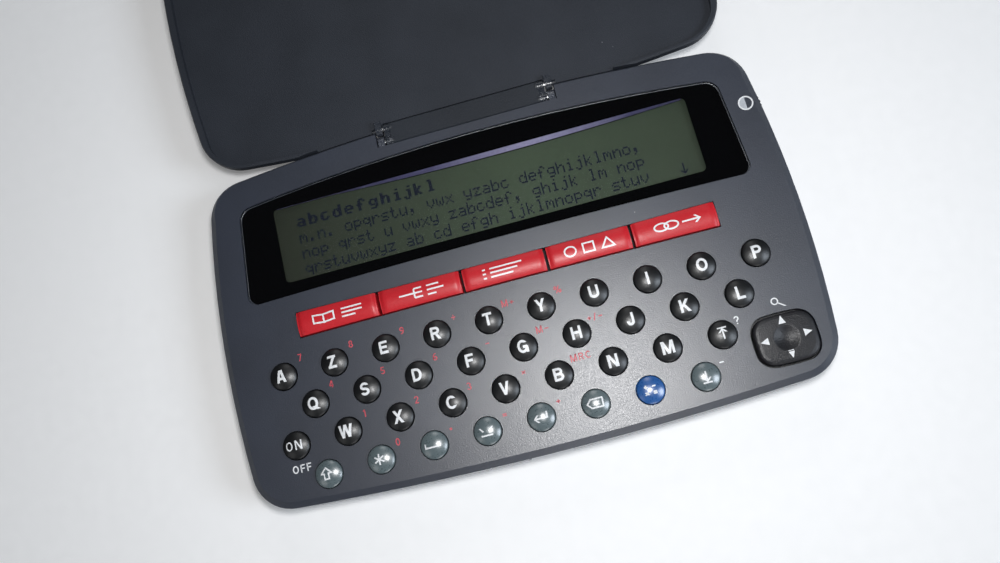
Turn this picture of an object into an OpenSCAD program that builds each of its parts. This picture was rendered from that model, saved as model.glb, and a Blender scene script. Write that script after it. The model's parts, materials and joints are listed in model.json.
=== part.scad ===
// Pocket electronic dictionary with a flip lid, lying open at 180 degrees.
// Millimetres. The origin is at the middle of the underside, +Y points to the hinge, +Z up.

/* [Body] */
// Width of the body across its widest point
body_w = 122.8; // [120:0.2:132]
// Depth of the body between the crowns of its front and rear edges
body_d = 75.25; // [74.5:0.25:82]
// Height of the body from its underside to the keyboard face
body_h = 11; // [10.9:0.1:13]
// Height of the joint between the lower and the upper shell
split_z = 4.5; // [4.2:0.1:4.9]
// Thickness of the upper shell's face plate
plate_t = 1.5; // [1.3:0.05:1.7]
// Thickness of the shells' side walls
wall_t = 1.5; // [1.2:0.1:1.8]
// Thickness of the lower shell's floor
floor_t = 1.4; // [1.2:0.1:1.8]
// Radius of the body's corners
corner_r = 8.5; // [6:0.5:11]
// Radius of the long curve of the rear edge
rear_curve_r = 493; // [460:1:900]
// Radius of the long curve of the front edge
front_curve_r = 760; // [400:10:1200]
// Radius of the long curve of the sides
side_curve_r = 238; // [200:1:400]
// How far the widest point of the sides lies in front of the middle
side_crown = 2.4; // [-4:0.1:6]
// Width of the bevel round the face
bevel_w = 1.35; // [0.6:0.05:1.6]
// Drop of the bevel round the face
bevel_drop = 0.9; // [0.4:0.05:1.2]
// Width and drop of the small chamfer on the rear edge
rear_chamfer = 0.35; // [0.3:0.05:0.4]
// How far the front wall leans out, from the bevel down to the joint
front_lean = 0.35; // [0.2:0.05:0.6]
// Height of the lower shell's upright edge below the joint
upright_h = 1.2; // [0.8:0.1:1.6]
// How far the underside's edge lies inside the outline
under_in = 2.6; // [1.6:0.1:2.8]
// Height over which the underside's edge rounds up
under_rise = 2.2; // [1.6:0.1:2.6]
// Width of the thumb notch in the front wall
thumb_w = 9; // [6:0.5:16]
// Depth of the thumb notch into the front wall
thumb_deep = 0.7; // [0.4:0.1:0.9]

/* [Round keys] */
// Gap between the last key of the third row and the direction pad's flange
key_pad_gap = 0.85; // [0.5:0.05:1.2]
// Distance between the rows
row_pitch = 7.17; // [6.9:0.01:7.4]
// Distance from the front edge to the front row
row_margin = 7.24; // [7:0.02:7.6]
// Radius of the gentle curve of the rows
row_curve_r = 2018; // [1500:10:4000]
// Diameter of a round key's cap
key_d = 5.5; // [4.6:0.1:6]
// Clearance round a round key in its hole
key_gap = 0.2; // [0.1:0.05:0.3]
// How far a round key stands above the face
key_proud = 1.3; // [0.9:0.05:1.35]
// Rise of the dome on a round key
key_dome = 0.8; // [0.4:0.05:0.85]
// How far a key's flange reaches beyond its cap
key_flange = 0.8; // [0.6:0.05:1]
// Thickness of the keys' flanges
flange_t = 0.6; // [0.5:0.05:0.7]
// Travel of the keys
key_travel = 0.7; // [0.5:0.05:0.8]
// Clearance above a key's flange at rest, and under it when pressed
key_play = 0.1; // [0.05:0.01:0.15]

/* [Mode keys] */
// Number of mode keys in the long slot
mode_count = 5; // [3:1:6]
// Distance from the body's side to the mode keys' slot
mode_side = 16.75; // [15:0.05:19]
// Depth of the slot at its ends
mode_slot_end = 5.6; // [5.2:0.1:6]
// Depth of the slot at its middle
mode_slot_mid = 5.1; // [4.8:0.1:5.4]
// Distance from the rear row of round keys to the middle of the slot
mode_rise = 9.15; // [8.6:0.05:9.4]
// Gap between two mode keys
mode_split = 0.65; // [0.4:0.05:1]
// Clearance between a mode key and the slot
mode_gap = 0.25; // [0.1:0.05:0.35]
// How far a mode key stands above the face
mode_proud = 1.2; // [0.8:0.05:1.3]
// Rise of the mode keys' crown
mode_crown = 0.7; // [0.4:0.05:0.8]

/* [Direction pad] */
// Width of the pad's cap
pad_w = 12; // [11:0.1:12.4]
// Depth of the pad's cap
pad_d = 9.6; // [8.6:0.1:10]
// Clearance round the pad
pad_gap = 0.5; // [0.4:0.05:0.6]
// How far the pad stands above the face
pad_proud = 1.1; // [0.8:0.05:1.2]
// Distance from the body's side to the middle of the pad
pad_side = 11.5; // [11.3:0.1:12.5]
// Distance from the front edge to the middle of the pad
pad_front = 10.35; // [10.2:0.05:11]
// Corner radius of the pad
pad_corner_r = 3; // [2:0.1:3.5]
// Radius of the pad's long edges
pad_edge_r = 42; // [30:1:80]
// Radius of the pad's short edges
pad_end_r = 26; // [20:1:60]
// How far the pad's flange reaches beyond its cap
pad_flange = 1; // [0.8:0.05:1.1]
// Thickness of the pad's flange
pad_flange_t = 0.55; // [0.5:0.05:0.6]
// Clearance above the pad's flange
pad_play = 0.7; // [0.6:0.05:0.8]
// Radius of the thumb dimple in the pad
dimple_r = 2.4; // [1.5:0.1:3]
// Depth of the thumb dimple
dimple_deep = 0.5; // [0.2:0.05:0.7]
// Radius of the rubber post that the pad rocks on
pad_post_r = 1.5; // [1:0.1:2]

/* [Display] */
// Distance from the body's side to the display lens
lens_side = 7.23; // [6.8:0.01:8]
// How much narrower the lens is at its rear corners, each side
lens_taper = 1.52; // [0:0.02:3]
// Distance from the rear edge of the body to the lens
lens_rear = 6; // [5.9:0.1:7]
// Distance from the middle of the mode keys to the lens
mode_lens = 7.35; // [7.2:0.05:8.5]
// Radius of the curve of the lens's rear edge
lens_rear_r = 403; // [380:1:800]
// Radius of the hollow curve of the lens's front edge
lens_front_r = 2006; // [1400:10:4000]
// Radius of the lens's rear corners
lens_rear_corner = 3; // [1.5:0.1:4]
// Radius of the lens's front corners
lens_front_corner = 2; // [1:0.1:3]
// Thickness of the lens
lens_t = 1; // [0.8:0.05:1.1]
// How far the lens lies below the face
lens_recess = 0.15; // [0.05:0.01:0.2]
// Clearance round the lens in its pocket
lens_gap = 0.12; // [0.08:0.01:0.2]
// Thickness of the shelf under the lens
shelf_t = 0.85; // [0.7:0.05:0.95]
// Distance from the lens's sides to the window in the shelf
window_side = 7.67; // [7:0.01:9]
// Distance from the lens's front edge to the window
window_front = 1.83; // [1.6:0.01:2.6]
// Distance from the lens's rear edge to the window
window_back = 4.57; // [4.2:0.01:5.5]
// How far the display glass reaches beyond the window at its ends
glass_lap_w = 1.1; // [0.8:0.05:1.5]
// How far the display glass reaches beyond the window at front and rear
glass_lap_d = 1.2; // [0.8:0.05:1.3]
// Thickness of the display glass
lcd_t = 1.6; // [1.2:0.1:1.7]
// Width of the frame round the display glass
frame_t = 1.2; // [0.8:0.1:1.4]
// Width of the two rubber contact strips
strip_w = 1; // [0.6:0.1:1.2]

/* [Electronics] */
// Thickness of the circuit board
board_t = 1; // [0.8:0.1:1.1]
// Clearance between the circuit board and the side walls
board_gap = 1.7; // [1:0.1:2.2]
// Thickness of the rubber keypad sheet
sheet_t = 0.5; // [0.4:0.05:0.6]
// Height of the domes on the keypad sheet
dome_h = 0.6; // [0.4:0.05:0.7]
// Diameter of the domes on the keypad sheet
dome_d = 4.2; // [3:0.1:5]
// Diameter of a coin cell
cell_d = 20; // [19.9:0.1:20.1]
// Thickness of a coin cell
cell_t = 3.2; // [2.5:0.1:3.25]
// Gap between the two coin cells
cell_split = 0.7; // [0.5:0.1:1.5]
// Clearance between the coin cells and their bay
cell_gap = 0.3; // [0.2:0.05:0.5]
// Distance from the body's middle to the middle of the battery bay
bay_y = 12.6; // [12:0.1:14]
// Thickness of the battery bay's walls
bay_wall = 1; // [0.8:0.1:1.2]
// Thickness of the battery door
door_t = 1.2; // [1:0.1:1.2]
// Clearance round the battery door
door_gap = 0.15; // [0.1:0.05:0.3]
// Clearance above the coin cells' contacts' underside and under the cells
cell_play = 0.15; // [0.1:0.01:0.2]
// Width of the coin cells' contacts
contact_w = 3; // [2:0.1:4]
// Length of the coin cells' contacts
contact_l = 8; // [6:0.1:9]
// Thickness of the coin cells' contacts
contact_t = 0.23; // [0.15:0.01:0.3]
// Radius of the large round chip under the board
chip_r = 6; // [4:0.1:6.5]
// Height of the parts under the board
chip_h = 1.2; // [0.8:0.1:1.4]
// Radius of the contrast wheel
wheel_r = 4.5; // [4:0.1:4.8]
// Thickness of the contrast wheel
wheel_t = 1.4; // [1:0.1:1.5]
// How far the contrast wheel stands out of the side
wheel_out = 0.6; // [0.3:0.1:1]
// Distance from the rear edge of the body to the contrast wheel
wheel_rear = 16.125; // [15.6:0.005:18]
// Clearance round the contrast wheel
wheel_gap = 0.3; // [0.2:0.05:0.4]
// Clearance above and below the contrast wheel
wheel_play = 0.2; // [0.1:0.05:0.25]

/* [Screws] */
// Diameter of the screw posts
post_d = 4.4; // [4:0.1:4.6]
// Diameter of the screws' shanks
screw_d = 1.9; // [1.6:0.1:2]
// Diameter of the screws' heads
head_d = 3.6; // [3.2:0.1:3.8]
// Height of the screws' heads
head_h = 1.2; // [1:0.1:1.3]
// Length of the screws' shanks
screw_l = 5.8; // [5:0.1:6]
// Height of the shoulder that the screws' heads bear on
screw_seat = 2.2; // [2:0.1:2.4]
// Wall of the lower shell's posts round the upper shell's posts
cup_wall = 1; // [0.8:0.05:1.1]

/* [Hinge] */
// Distance from the body's rear crown to the body's hinge axis
hinge_inset = 2.5; // [2.45:0.05:2.8]
// Depth of both hinge axes below the face
hinge_depth = 1.35; // [1.3:0.01:1.4]
// Distance between the two hinge axes
hinge_gap = 3; // [3:0.05:3.3]
// Radius of the hinge link's rounded edges about its two axes
link_r = 1.1; // [1:0.05:1.25]
// Thickness of the hinge link
link_t = 1.8; // [1.6:0.1:2]
// Radius of the bosses at the link's ends
boss_r = 1.05; // [0.9:0.05:1.1]
// Length of the link's flat part
link_l = 33.2; // [28:0.2:36]
// Length of each boss
boss_l = 1.35; // [1:0.05:1.6]
// Clearance between the link and the slots it lies in
link_gap = 0.2; // [0.1:0.05:0.3]
// Length of each hinge ear
ear_l = 1.4; // [1.3:0.1:2.4]
// Gap between a boss and the ear beside it
ear_gap = 0.35; // [0.2:0.05:0.5]
// Radius of the lid's ears
lid_ear_r = 1.38; // [1.2:0.01:1.4]
// Radius of the body's ears
body_ear_r = 1.15; // [1:0.05:1.2]
// Thickness of the web between each pair of bosses
web_t = 1.4; // [1:0.1:1.6]
// Radius of the hinge pins
pin_r = 0.5; // [0.4:0.05:0.6]
// Running clearance of the pins in the ears
pin_run = 0.05; // [0.03:0.01:0.08]
// Length of a hinge pin
pin_l = 5.2; // [4.5:0.1:6]

/* [Lid] */
// Thickness of the lid
lid_t = 2.8; // [2.5:0.1:2.9]
// Height of the lid's lip above its recessed inner face
lip_h = 1.2; // [1.1:0.05:1.3]
// Width of the lid's lip
lip_w = 1.7; // [1.2:0.1:2.4]
// Radius of the lid's corners beside the hinge
lid_hinge_corner = 10; // [8:0.5:12]
// Distance from the lid's hinge axis to the widest point of its sides
lid_side_crown = 45; // [40:0.5:50]
// Distance from the body's hinge axis to the crown of the lid's hinge edge
lid_crown = 0.15; // [0.1:0.05:0.4]
// Clearance between the body's rear edge and the lid
lid_gap = 0.6; // [0.55:0.05:0.9]
// Width of the lid's lip along its hinge edge
lip_near = 0.7; // [0.5:0.05:1]

/* [Hidden] */
$fn = 48;

// The places along the height
plate_z = body_h - plate_t;
flange_z = plate_z - key_play - flange_t;
dome_z = flange_z - key_travel - key_play;
sheet_z = dome_z - dome_h;
board_top = sheet_z - sheet_t;
board_z = board_top - board_t;
lens_z = body_h - lens_recess - lens_t;
shelf_z = lens_z - shelf_t;
lcd_top = shelf_z - key_play;
lcd_z = lcd_top - lcd_t;
hinge_z = body_h - hinge_depth;
lid_z = body_h - lid_t;

// The places along the depth
front_y = -body_d / 2;
rear_y = body_d / 2;
body_axis_y = rear_y - hinge_inset;
lid_axis_y = body_axis_y + hinge_gap;
row_y = front_y + row_margin + 3 * row_pitch;
mode_y = row_y + mode_rise;
lens_back_y = rear_y - lens_rear;
lens_front_y = mode_y + mode_lens;
window_y0 = lens_front_y + window_front;
window_y1 = lens_back_y - window_back;
window_y = (window_y0 + window_y1) / 2;
pad_y = front_y + pad_front;
wheel_y = rear_y - wheel_rear;
notch_y = body_axis_y - link_r - link_gap;

// The places along the width
half_w = body_w / 2;
pad_x = half_w - pad_side;
lens_w = body_w - 2 * lens_side;
window_w = lens_w - 2 * window_side;
lcd_w = window_w + 2 * glass_lap_w;
lcd_d = window_y1 - window_y0 + 2 * glass_lap_d;
mode_slot_l = body_w - 2 * mode_side;
mode_l = (mode_slot_l - 2 * mode_gap - (mode_count - 1) * mode_split) / mode_count;
wheel_x = side_x(wheel_y) + wheel_out - wheel_r;
ear_x0 = link_l / 2 + boss_l + ear_gap;
ear_x1 = ear_x0 + ear_l;
notch_x = ear_x1 + 0.3;

// The places along the height that other values need
wheel_z = board_top + 0.5;
notch_z = hinge_z - link_r - 0.35;
cell_z = door_t + cell_play;
pad_flange_z = plate_z - pad_play - pad_flange_t;

// Radii and half sizes
hole_r = key_d / 2 + key_gap;
post_r = post_d / 2;
cup_r = post_r + cup_wall;
bay_hw = cell_d + cell_split / 2 + cell_gap;
bay_hd = cell_d / 2 + cell_gap;
door_axis_y = bay_y + bay_hd - door_gap - door_t / 2;
door_pin_r = 0.3;
door_pin_l = 0.8;
wheel_bore = 1;
groove_r = 7;
groove_deep = 0.4;
CELLS = [[-(cell_d + cell_split) / 2, bay_y], [(cell_d + cell_split) / 2, bay_y]];

// How far a cut reaches past the face that it opens, and a joined piece into its neighbour
past = 1;
sunk = 0.1;

// The screws cut their thread this far short of their own radius
thread_gap = 0.02;

// Width of the joint's tongue that the lower shell's wall leaves inside the upper one
tongue_w = 0.4;
// Clearance of the board and the rubber sheet round the posts
post_gap = 0.2;
// Depth below the outline of the lower shell where the shells meet
seam_in = 0.1;

// Every round key is [name, row from the rear, place in its row, colour]
ROW_STARTS = [-4.5, -4, -4.5, -4];
last_place = ROW_STARTS[2] + 8;
key_pitch = (pad_x - pad_w / 2 - pad_flange - key_pad_gap - key_d / 2 - key_flange) / last_place;
dark = "#1c2026";
grey = "#5f6e73";
blue = "#1e5096";
ROUND_KEYS = concat(
    key_row(0, ["a", "z", "e", "r", "t", "y", "u", "i", "o", "p"], dark),
    key_row(1, ["q", "s", "d", "f", "g", "h", "j", "k", "l"], dark),
    key_row(2, ["on", "w", "x", "c", "v", "b", "n", "m", "back"], dark),
    key_row(3, ["shift", "star", "space", "accent", "enter", "erase"], grey),
    [["key_calc", 3, 6, blue], ["key_next", 3, 7, grey]]
);
MODE_KEYS = [for (i = [0 : mode_count - 1]) str("mode_key_", i + 1)];

function key_row(row, names, shade) =
    [for (i = [0 : len(names) - 1]) [str("key_", names[i]), row, i, shade]];
function bowed(x, crown_y) = crown_y - x * x / (2 * row_curve_r);
function key_place(k) =
    let (x = (ROW_STARTS[k[1]] + k[2]) * key_pitch)
    [x, bowed(x, row_y - k[1] * row_pitch)];

// The screw posts' distances from the body's side, and from the edge or row beside them
post_front = [9.9, 6.6];
post_pad = [4.5, 4.9];
post_middle = [7.4, 0.7];
post_rear = [7.8, 7.8];
POSTS = [
    [post_front.x - half_w, front_y + post_front.y],
    [pad_x - pad_w / 2 - post_pad.x, front_y + post_pad.y],
    [post_middle.x - half_w, mode_y + post_middle.y],
    [half_w - post_middle.x, mode_y + post_middle.y],
    [post_rear.x - half_w, rear_y - post_rear.y],
    [half_w - post_rear.x, rear_y - post_rear.y]
];

// Outlines are runs of [x, y, outward x, outward y], four long arcs joined by corner arcs
function clamp(v) = max(0, min(1, v));
function toward(a, b) = atan2(b.y - a.y, b.x - a.x);
function arcs_meet(a, ra, b, rb, side) =
    let (d = norm(b - a), u = (b - a) / d, p = (d * d + ra * ra - rb * rb) / (2 * d))
    a + u * p + side * sqrt(ra * ra - p * p) * [u.y, -u.x];
function arc_run(c, r, a0, a1, n, first) =
    [for (i = [first : n]) let (a = a0 + (a1 - a0) * i / n)
        [c.x + r * cos(a), c.y + r * sin(a), cos(a), sin(a)]];
function outline(reach, y0, y1, crown_y, side_r, r0, r1, corner0, corner1) =
    let (
        s = [reach - side_r, crown_y],
        f = [0, y0 + r0],
        r = [0, y1 - r1],
        c0 = arcs_meet(s, side_r - corner0, f, r0 - corner0, 1),
        c1 = arcs_meet(s, side_r - corner1, r, r1 - corner1, -1),
        right = concat(
            arc_run(f, r0, -90, toward(f, c0), 7, 0),
            arc_run(c0, corner0, toward(f, c0), toward(s, c0), 10, 1),
            arc_run(s, side_r, toward(s, c0), toward(s, c1), 10, 1),
            arc_run(c1, corner1, toward(s, c1), toward(r, c1), 10, 1),
            arc_run(r, r1, toward(r, c1), 90, 12, 1)
        ),
        last = len(right) - 1
    )
    concat(right, [for (i = [last - 1 : -1 : 1]) let (p = right[i]) [-p.x, p.y, -p[2], p[3]]]);
function inset(run, d) = [for (p = run) [p.x - d * p[2], p.y - d * p[3]]];
function ring(run, d, z) = [for (p = run) [p.x - d * p[2], p.y - d * p[3], z]];

BODY = outline(half_w, front_y, rear_y, -side_crown, side_curve_r,
    front_curve_r, rear_curve_r, corner_r, corner_r);
lid_front_y = body_axis_y + lid_crown;
lid_rear_y = body_axis_y + lid_axis_y - front_y;
LID = outline(half_w, lid_front_y, lid_rear_y, lid_axis_y + lid_side_crown, side_curve_r,
    rear_curve_r, front_curve_r, lid_hinge_corner, corner_r);
// The lid's lip narrows where its outline turns towards the hinge
LID_RECESS = [for (p = LID) let (d = lip_w - (lip_w - lip_near) * min(1, max(0, -p[3])))
    [p.x - d * p[2], p.y - d * p[3]]];
PAD = outline(pad_w / 2, -pad_d / 2, pad_d / 2, 0, pad_end_r,
    pad_edge_r, pad_edge_r, pad_corner_r, pad_corner_r);

// 1 where the body's outline faces the front, running out to 0 round its front corners
FACING = [for (p = BODY) clamp((-p[3] - 0.55) / 0.35)];

// A solid through a stack of rings, each with as many points as the first
module loft(rings) {
    n = len(rings[0]);
    sides = [for (k = [0 : len(rings) - 2]) for (i = [0 : n - 1]) for (half = [0, 1])
        let (j = (i + 1) % n, a = k * n, b = a + n)
        half == 0 ? [a + i, b + i, b + j] : [a + i, b + j, a + j]];
    top = (len(rings) - 1) * n;
    polyhedron(
        points = [for (r = rings) for (p = r) p],
        faces = concat([[for (i = [0 : n - 1]) i]], sides, [[for (i = [n - 1 : -1 : 0]) top + i]])
    );
}

module slab(points, z0, z1) {
    translate([0, 0, z0]) linear_extrude(z1 - z0) polygon(points);
}

module block(x0, x1, y0, y1, z0, z1) {
    translate([x0, y0, z0]) cube([x1 - x0, y1 - y0, z1 - z0]);
}

module disc(p, r, z0, z1) {
    translate([p.x, p.y, z0]) cylinder(r = r, h = z1 - z0);
}

// A rod along X on both sides of the middle
module rods(y, z, r, x0, x1) {
    for (side = [-1, 1])
        translate([side * (x0 + x1) / 2, y, z]) rotate([0, 90, 0])
            cylinder(r = r, h = x1 - x0, center = true);
}

module both_sides(x0, x1, y0, y1, z0, z1) {
    block(x0, x1, y0, y1, z0, z1);
    block(-x1, -x0, y0, y1, z0, z1);
}

// Replaces the corners of a polygon by arcs; a radius of 0 keeps the point
function rounded(points, radii) =
    let (n = len(points))
    [for (i = [0 : n - 1])
        let (
            p = points[i],
            u = points[(i + n - 1) % n] - p,
            v = points[(i + 1) % n] - p,
            a = u / norm(u),
            b = v / norm(v),
            half = acos(a * b) / 2,
            r = radii[i],
            c = p + (a + b) / norm(a + b) * r / sin(half),
            from = toward(c, p + a * r / tan(half)),
            turn = toward(c, p + b * r / tan(half)) - from,
            sweep = turn > 180 ? turn - 360 : (turn < -180 ? turn + 360 : turn)
        )
        each r == 0 ? [p] :
            [for (k = [0 : 6]) let (t = from + sweep * k / 6) c + r * [cos(t), sin(t)]]];

// The lens, and its pocket when grown by a clearance
function lens_points(grow) =
    let (
        w0 = lens_w / 2 + grow,
        w1 = w0 - lens_taper,
        y0 = lens_front_y - grow,
        y1 = lens_back_y + grow,
        steps = 12,
        front = [for (i = [0 : steps]) let (x = -w0 + 2 * w0 * i / steps)
            [x, y0 - x * x / (2 * lens_front_r)]],
        rear = [for (i = [0 : steps]) let (x = w1 - 2 * w1 * i / steps)
            [x, y1 - x * x / (2 * lens_rear_r)]],
        rf = lens_front_corner + grow,
        rr = lens_rear_corner + grow
    )
    rounded(concat(front, rear),
        [for (i = [0 : 2 * steps + 1])
            i == 0 || i == steps ? rf : (i == steps + 1 || i == 2 * steps + 1 ? rr : 0)]);

// The band of the mode keys between two places along X, waisted at the middle
function mode_half(x) =
    mode_slot_mid / 2 + (mode_slot_end - mode_slot_mid) / 2 * pow(2 * x / mode_slot_l, 2);
function mode_band(x0, x1, grow) =
    let (xs = [for (i = [0 : 8]) x0 + (x1 - x0) * i / 8])
    concat(
        [for (x = xs) [x, mode_y - mode_half(x) - grow]],
        [for (i = [8 : -1 : 0]) [xs[i], mode_y + mode_half(xs[i]) + grow]]
    );

function mode_x(i) = (i - (mode_count - 1) / 2) * (mode_l + mode_split);
function side_x(y) = body_w / 2 - pow(y + side_crown, 2) / (2 * side_curve_r);

module shell_top() {
    // The bevel runs out where the outline turns from the sides to the rear edge
    fade = [for (p = BODY) clamp((0.75 - p[3]) / 0.6)];
    cut = [for (f = fade) rear_chamfer + (bevel_w - rear_chamfer) * f];
    drop = [for (f = fade) rear_chamfer + (bevel_drop - rear_chamfer) * f];
    all = [0 : len(BODY) - 1];
    loft([
        leant([for (f = FACING) -front_lean * f], split_z),
        [for (i = all) [BODY[i].x, BODY[i].y, body_h - drop[i]]],
        [for (i = all) [BODY[i].x - cut[i] * BODY[i][2], BODY[i].y - cut[i] * BODY[i][3], body_h]]
    ]);
}

// A ring round the body with an inset of its own at every point
function leant(insets, z) =
    [for (i = [0 : len(BODY) - 1]) let (p = BODY[i])
        [p.x - insets[i] * p[2], p.y - insets[i] * p[3], z]];

// The notch for a thumb in the front wall, up to just under the bevel
module thumb_notch() {
    w = thumb_w / 2;
    in_y = front_y + thumb_deep;
    slab([[-w, front_y - past], [w, front_y - past], [w, front_y], [w - past, in_y],
        [past - w, in_y], [-w, front_y]], -past, body_h - bevel_drop - rear_chamfer);
}

module top_case() {
    color("#464b55") difference() {
        union() {
            difference() {
                shell_top();
                slab(inset(BODY, wall_t), split_z - past, plate_z);
            }
            slab(lens_points(past), shelf_z, plate_z);
            intersection() {
                shell_top();
                block(-notch_x - wall_t, notch_x + wall_t, notch_y - wall_t, rear_y + past,
                    notch_z - wall_t, plate_z + sunk);
            }
            for (p = POSTS) disc(p, post_r, split_z, plate_z + sunk);
        }
        for (k = ROUND_KEYS) disc(key_place(k), hole_r, plate_z - past, body_h + past);
        slab(mode_band(-mode_slot_l / 2, mode_slot_l / 2, 0), plate_z - past, body_h + past);
        translate([pad_x, pad_y, 0])
            slab(inset(PAD, -pad_gap), plate_z - past, body_h + past);
        slab(lens_points(lens_gap), lens_z, body_h + past);
        block(-window_w / 2, window_w / 2, window_y0, window_y1, shelf_z - past, body_h);
        block(-notch_x, notch_x, notch_y, rear_y + past, notch_z, body_h + past);
        thumb_notch();
        for (p = POSTS)
            disc(p, screw_d / 2 + thread_gap, split_z - past, screw_seat + screw_l + past);
        disc([wheel_x, wheel_y], wheel_r + wheel_gap, wheel_z - wheel_play,
            wheel_z + wheel_t + wheel_play);
    }
    color("#464b55") difference() {
        union() {
            rods(body_axis_y, hinge_z, body_ear_r, ear_x0, ear_x1);
            both_sides(ear_x0, ear_x1, notch_y, body_axis_y, notch_z, hinge_z + body_ear_r);
        }
        rods(body_axis_y, hinge_z, pin_r + pin_run, ear_x0 - past, ear_x1 + past);
    }
}

module shell_bottom() {
    edge = [for (f = FACING) seam_in - front_lean * f];
    loft([
        ring(BODY, under_in, 0),
        ring(BODY, 0.54 * under_in, 0.36 * under_rise),
        ring(BODY, 0.19 * under_in, under_rise),
        leant(edge, split_z - upright_h),
        leant(edge, split_z)
    ]);
}

module bottom_case() {
    color("#3a3e46") difference() {
        union() {
            difference() {
                shell_bottom();
                slab(inset(BODY, wall_t + tongue_w), floor_t, split_z + past);
            }
            intersection() {
                for (p = POSTS) disc(p, cup_r, floor_t - sunk, board_z);
                slab(inset(BODY, wall_t + sunk), 0, board_z);
            }
            difference() {
                block(-bay_hw - bay_wall, bay_hw + bay_wall, bay_y - bay_hd - bay_wall,
                    bay_y + bay_hd + bay_wall, floor_t - sunk, board_z - sunk);
                block(-bay_hw, bay_hw, bay_y - bay_hd, bay_y + bay_hd, 0, board_z);
            }
        }
        block(-bay_hw, bay_hw, bay_y - bay_hd, bay_y + bay_hd, -past, floor_t + past);
        for (p = POSTS) {
            disc(p, head_d / 2 + link_gap, -past, screw_seat);
            disc(p, screw_d / 2 + key_play, 0, split_z + past);
            disc(p, post_r + key_play, split_z, board_z + past);
        }
        rods(door_axis_y, door_t / 2, door_pin_r + pin_run, bay_hw - past,
            bay_hw + door_pin_l + door_gap);
        thumb_notch();
    }
}

module battery_door() {
    color("#3a3e46") difference() {
        union() {
            block(-bay_hw + door_gap, bay_hw - door_gap, bay_y - bay_hd + door_gap,
                door_axis_y, 0, door_t);
            translate([0, door_axis_y, door_t / 2]) rotate([0, 90, 0])
                cylinder(r = door_t / 2, h = 2 * (bay_hw - door_gap), center = true);
            rods(door_axis_y, door_t / 2, door_pin_r, bay_hw - past, bay_hw + door_pin_l);
        }
        // The groove for a fingernail
        translate([0, bay_y - bay_hd + 4, groove_deep - groove_r]) rotate([0, 90, 0])
            cylinder(r = groove_r, h = thumb_w + 3, center = true);
    }
}

module coin_cells() {
    color("#b9bcc0") for (p = CELLS) {
        disc(p, cell_d / 2, cell_z, cell_z + 0.88 * cell_t);
        disc(p, 0.42 * cell_d, cell_z + 0.85 * cell_t, cell_z + cell_t);
    }
}

module battery_contacts() {
    z = cell_z + cell_t + 0.02;
    x = contact_w / 2;
    color("#c9b98a") for (p = CELLS) {
        block(p.x - x, p.x + x, p.y - 0.75 * contact_l, p.y + 0.25 * contact_l, z, z + contact_t);
        block(p.x - x, p.x + x, p.y - 0.75 * contact_l, p.y - 0.7 * contact_l,
            z + contact_t / 2, board_z);
    }
}

module main_board() {
    color("#2f6b46") difference() {
        intersection() {
            slab(inset(BODY, wall_t + board_gap), board_z, board_top);
            block(-body_w, body_w, front_y, notch_y - wall_t - past, board_z - past,
                board_top + past);
        }
        for (p = POSTS) disc(p, post_r + post_gap, board_z - past, board_top + past);
    }
}

module board_parts() {
    y = row_y - 1.5 * row_pitch;
    low_z = board_z - chip_h;
    color("#23262a") {
        disc([-2.2 * key_pitch, y], chip_r, low_z, board_z);
        disc([1.6 * key_pitch, y], 0.75 * chip_r, low_z, board_z);
        block(2.7 * key_pitch, 2.7 * key_pitch + chip_r, y, y + chip_r / 2, low_z, board_z);
        block(-4 * key_pitch, -4 * key_pitch + chip_r / 2, y, y + chip_r / 3, low_z, board_z);
        block(-4 * key_pitch, -4 * key_pitch + chip_r / 2, y + chip_r, y + 1.4 * chip_r,
            low_z, board_z);
    }
    color("#23262a") {
        disc([wheel_x, wheel_y], wheel_r / 2, board_top, wheel_z - wheel_play / 2);
        disc([wheel_x, wheel_y], wheel_bore - pin_run, board_top, wheel_z + wheel_t - wheel_play);
    }
}

module keypad_sheet() {
    x0 = ROW_STARTS[0] * key_pitch - hole_r - key_flange;
    x1 = pad_x + pad_w / 2;
    y0 = pad_y - pad_d / 2 - pad_gap;
    color("#8d9094") difference() {
        union() {
            block(x0, x1, y0, mode_y + mode_slot_end / 2 + key_flange, board_top, sheet_z);
            for (k = ROUND_KEYS) disc(key_place(k), dome_d / 2, sheet_z - sunk, dome_z);
            for (i = [0 : mode_count - 1])
                disc([mode_x(i), mode_y], dome_d / 2, sheet_z - sunk, dome_z);
            for (a = [0 : 90 : 270])
                disc([pad_x + pad_w / 3 * cos(a), pad_y + pad_d / 3 * sin(a)],
                    0.28 * dome_d, sheet_z - sunk, sheet_z + dome_h / 3);
        }
        disc([pad_x, pad_y], pad_post_r + pad_gap, board_top - past, dome_z + past);
        for (p = POSTS) disc(p, post_r + post_gap + sunk, board_top - past, dome_z + past);
    }
}

module lcd_glass() {
    color("#6b7562") block(-lcd_w / 2, lcd_w / 2, window_y - lcd_d / 2, window_y + lcd_d / 2,
        lcd_z, lcd_top);
}

module lcd_frame() {
    hw = lcd_w / 2 + key_play;
    hd = lcd_d / 2 + key_play;
    color("#d9dbdc") difference() {
        block(-hw - frame_t, hw + frame_t, window_y - hd - frame_t, window_y + hd + frame_t,
            board_top, lcd_top);
        block(-hw, hw, window_y - hd, window_y + hd, board_top - past, lcd_top + past);
    }
}

module contact_strips() {
    hw = lcd_w / 2 - 3 * strip_w;
    hd = lcd_d / 2 - 0.4 * strip_w;
    color("#3b2b2f") for (side = [0, 1])
        mirror_y(window_y, side) block(-hw, hw, window_y - hd, window_y - hd + strip_w,
            board_top, lcd_z);
}

module mirror_y(y, on) {
    if (on == 0) children();
    else translate([0, 2 * y, 0]) mirror([0, 1, 0]) children();
}

module display_lens() {
    color("#0d0f12") slab(lens_points(0), lens_z, lens_z + lens_t);
}

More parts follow.
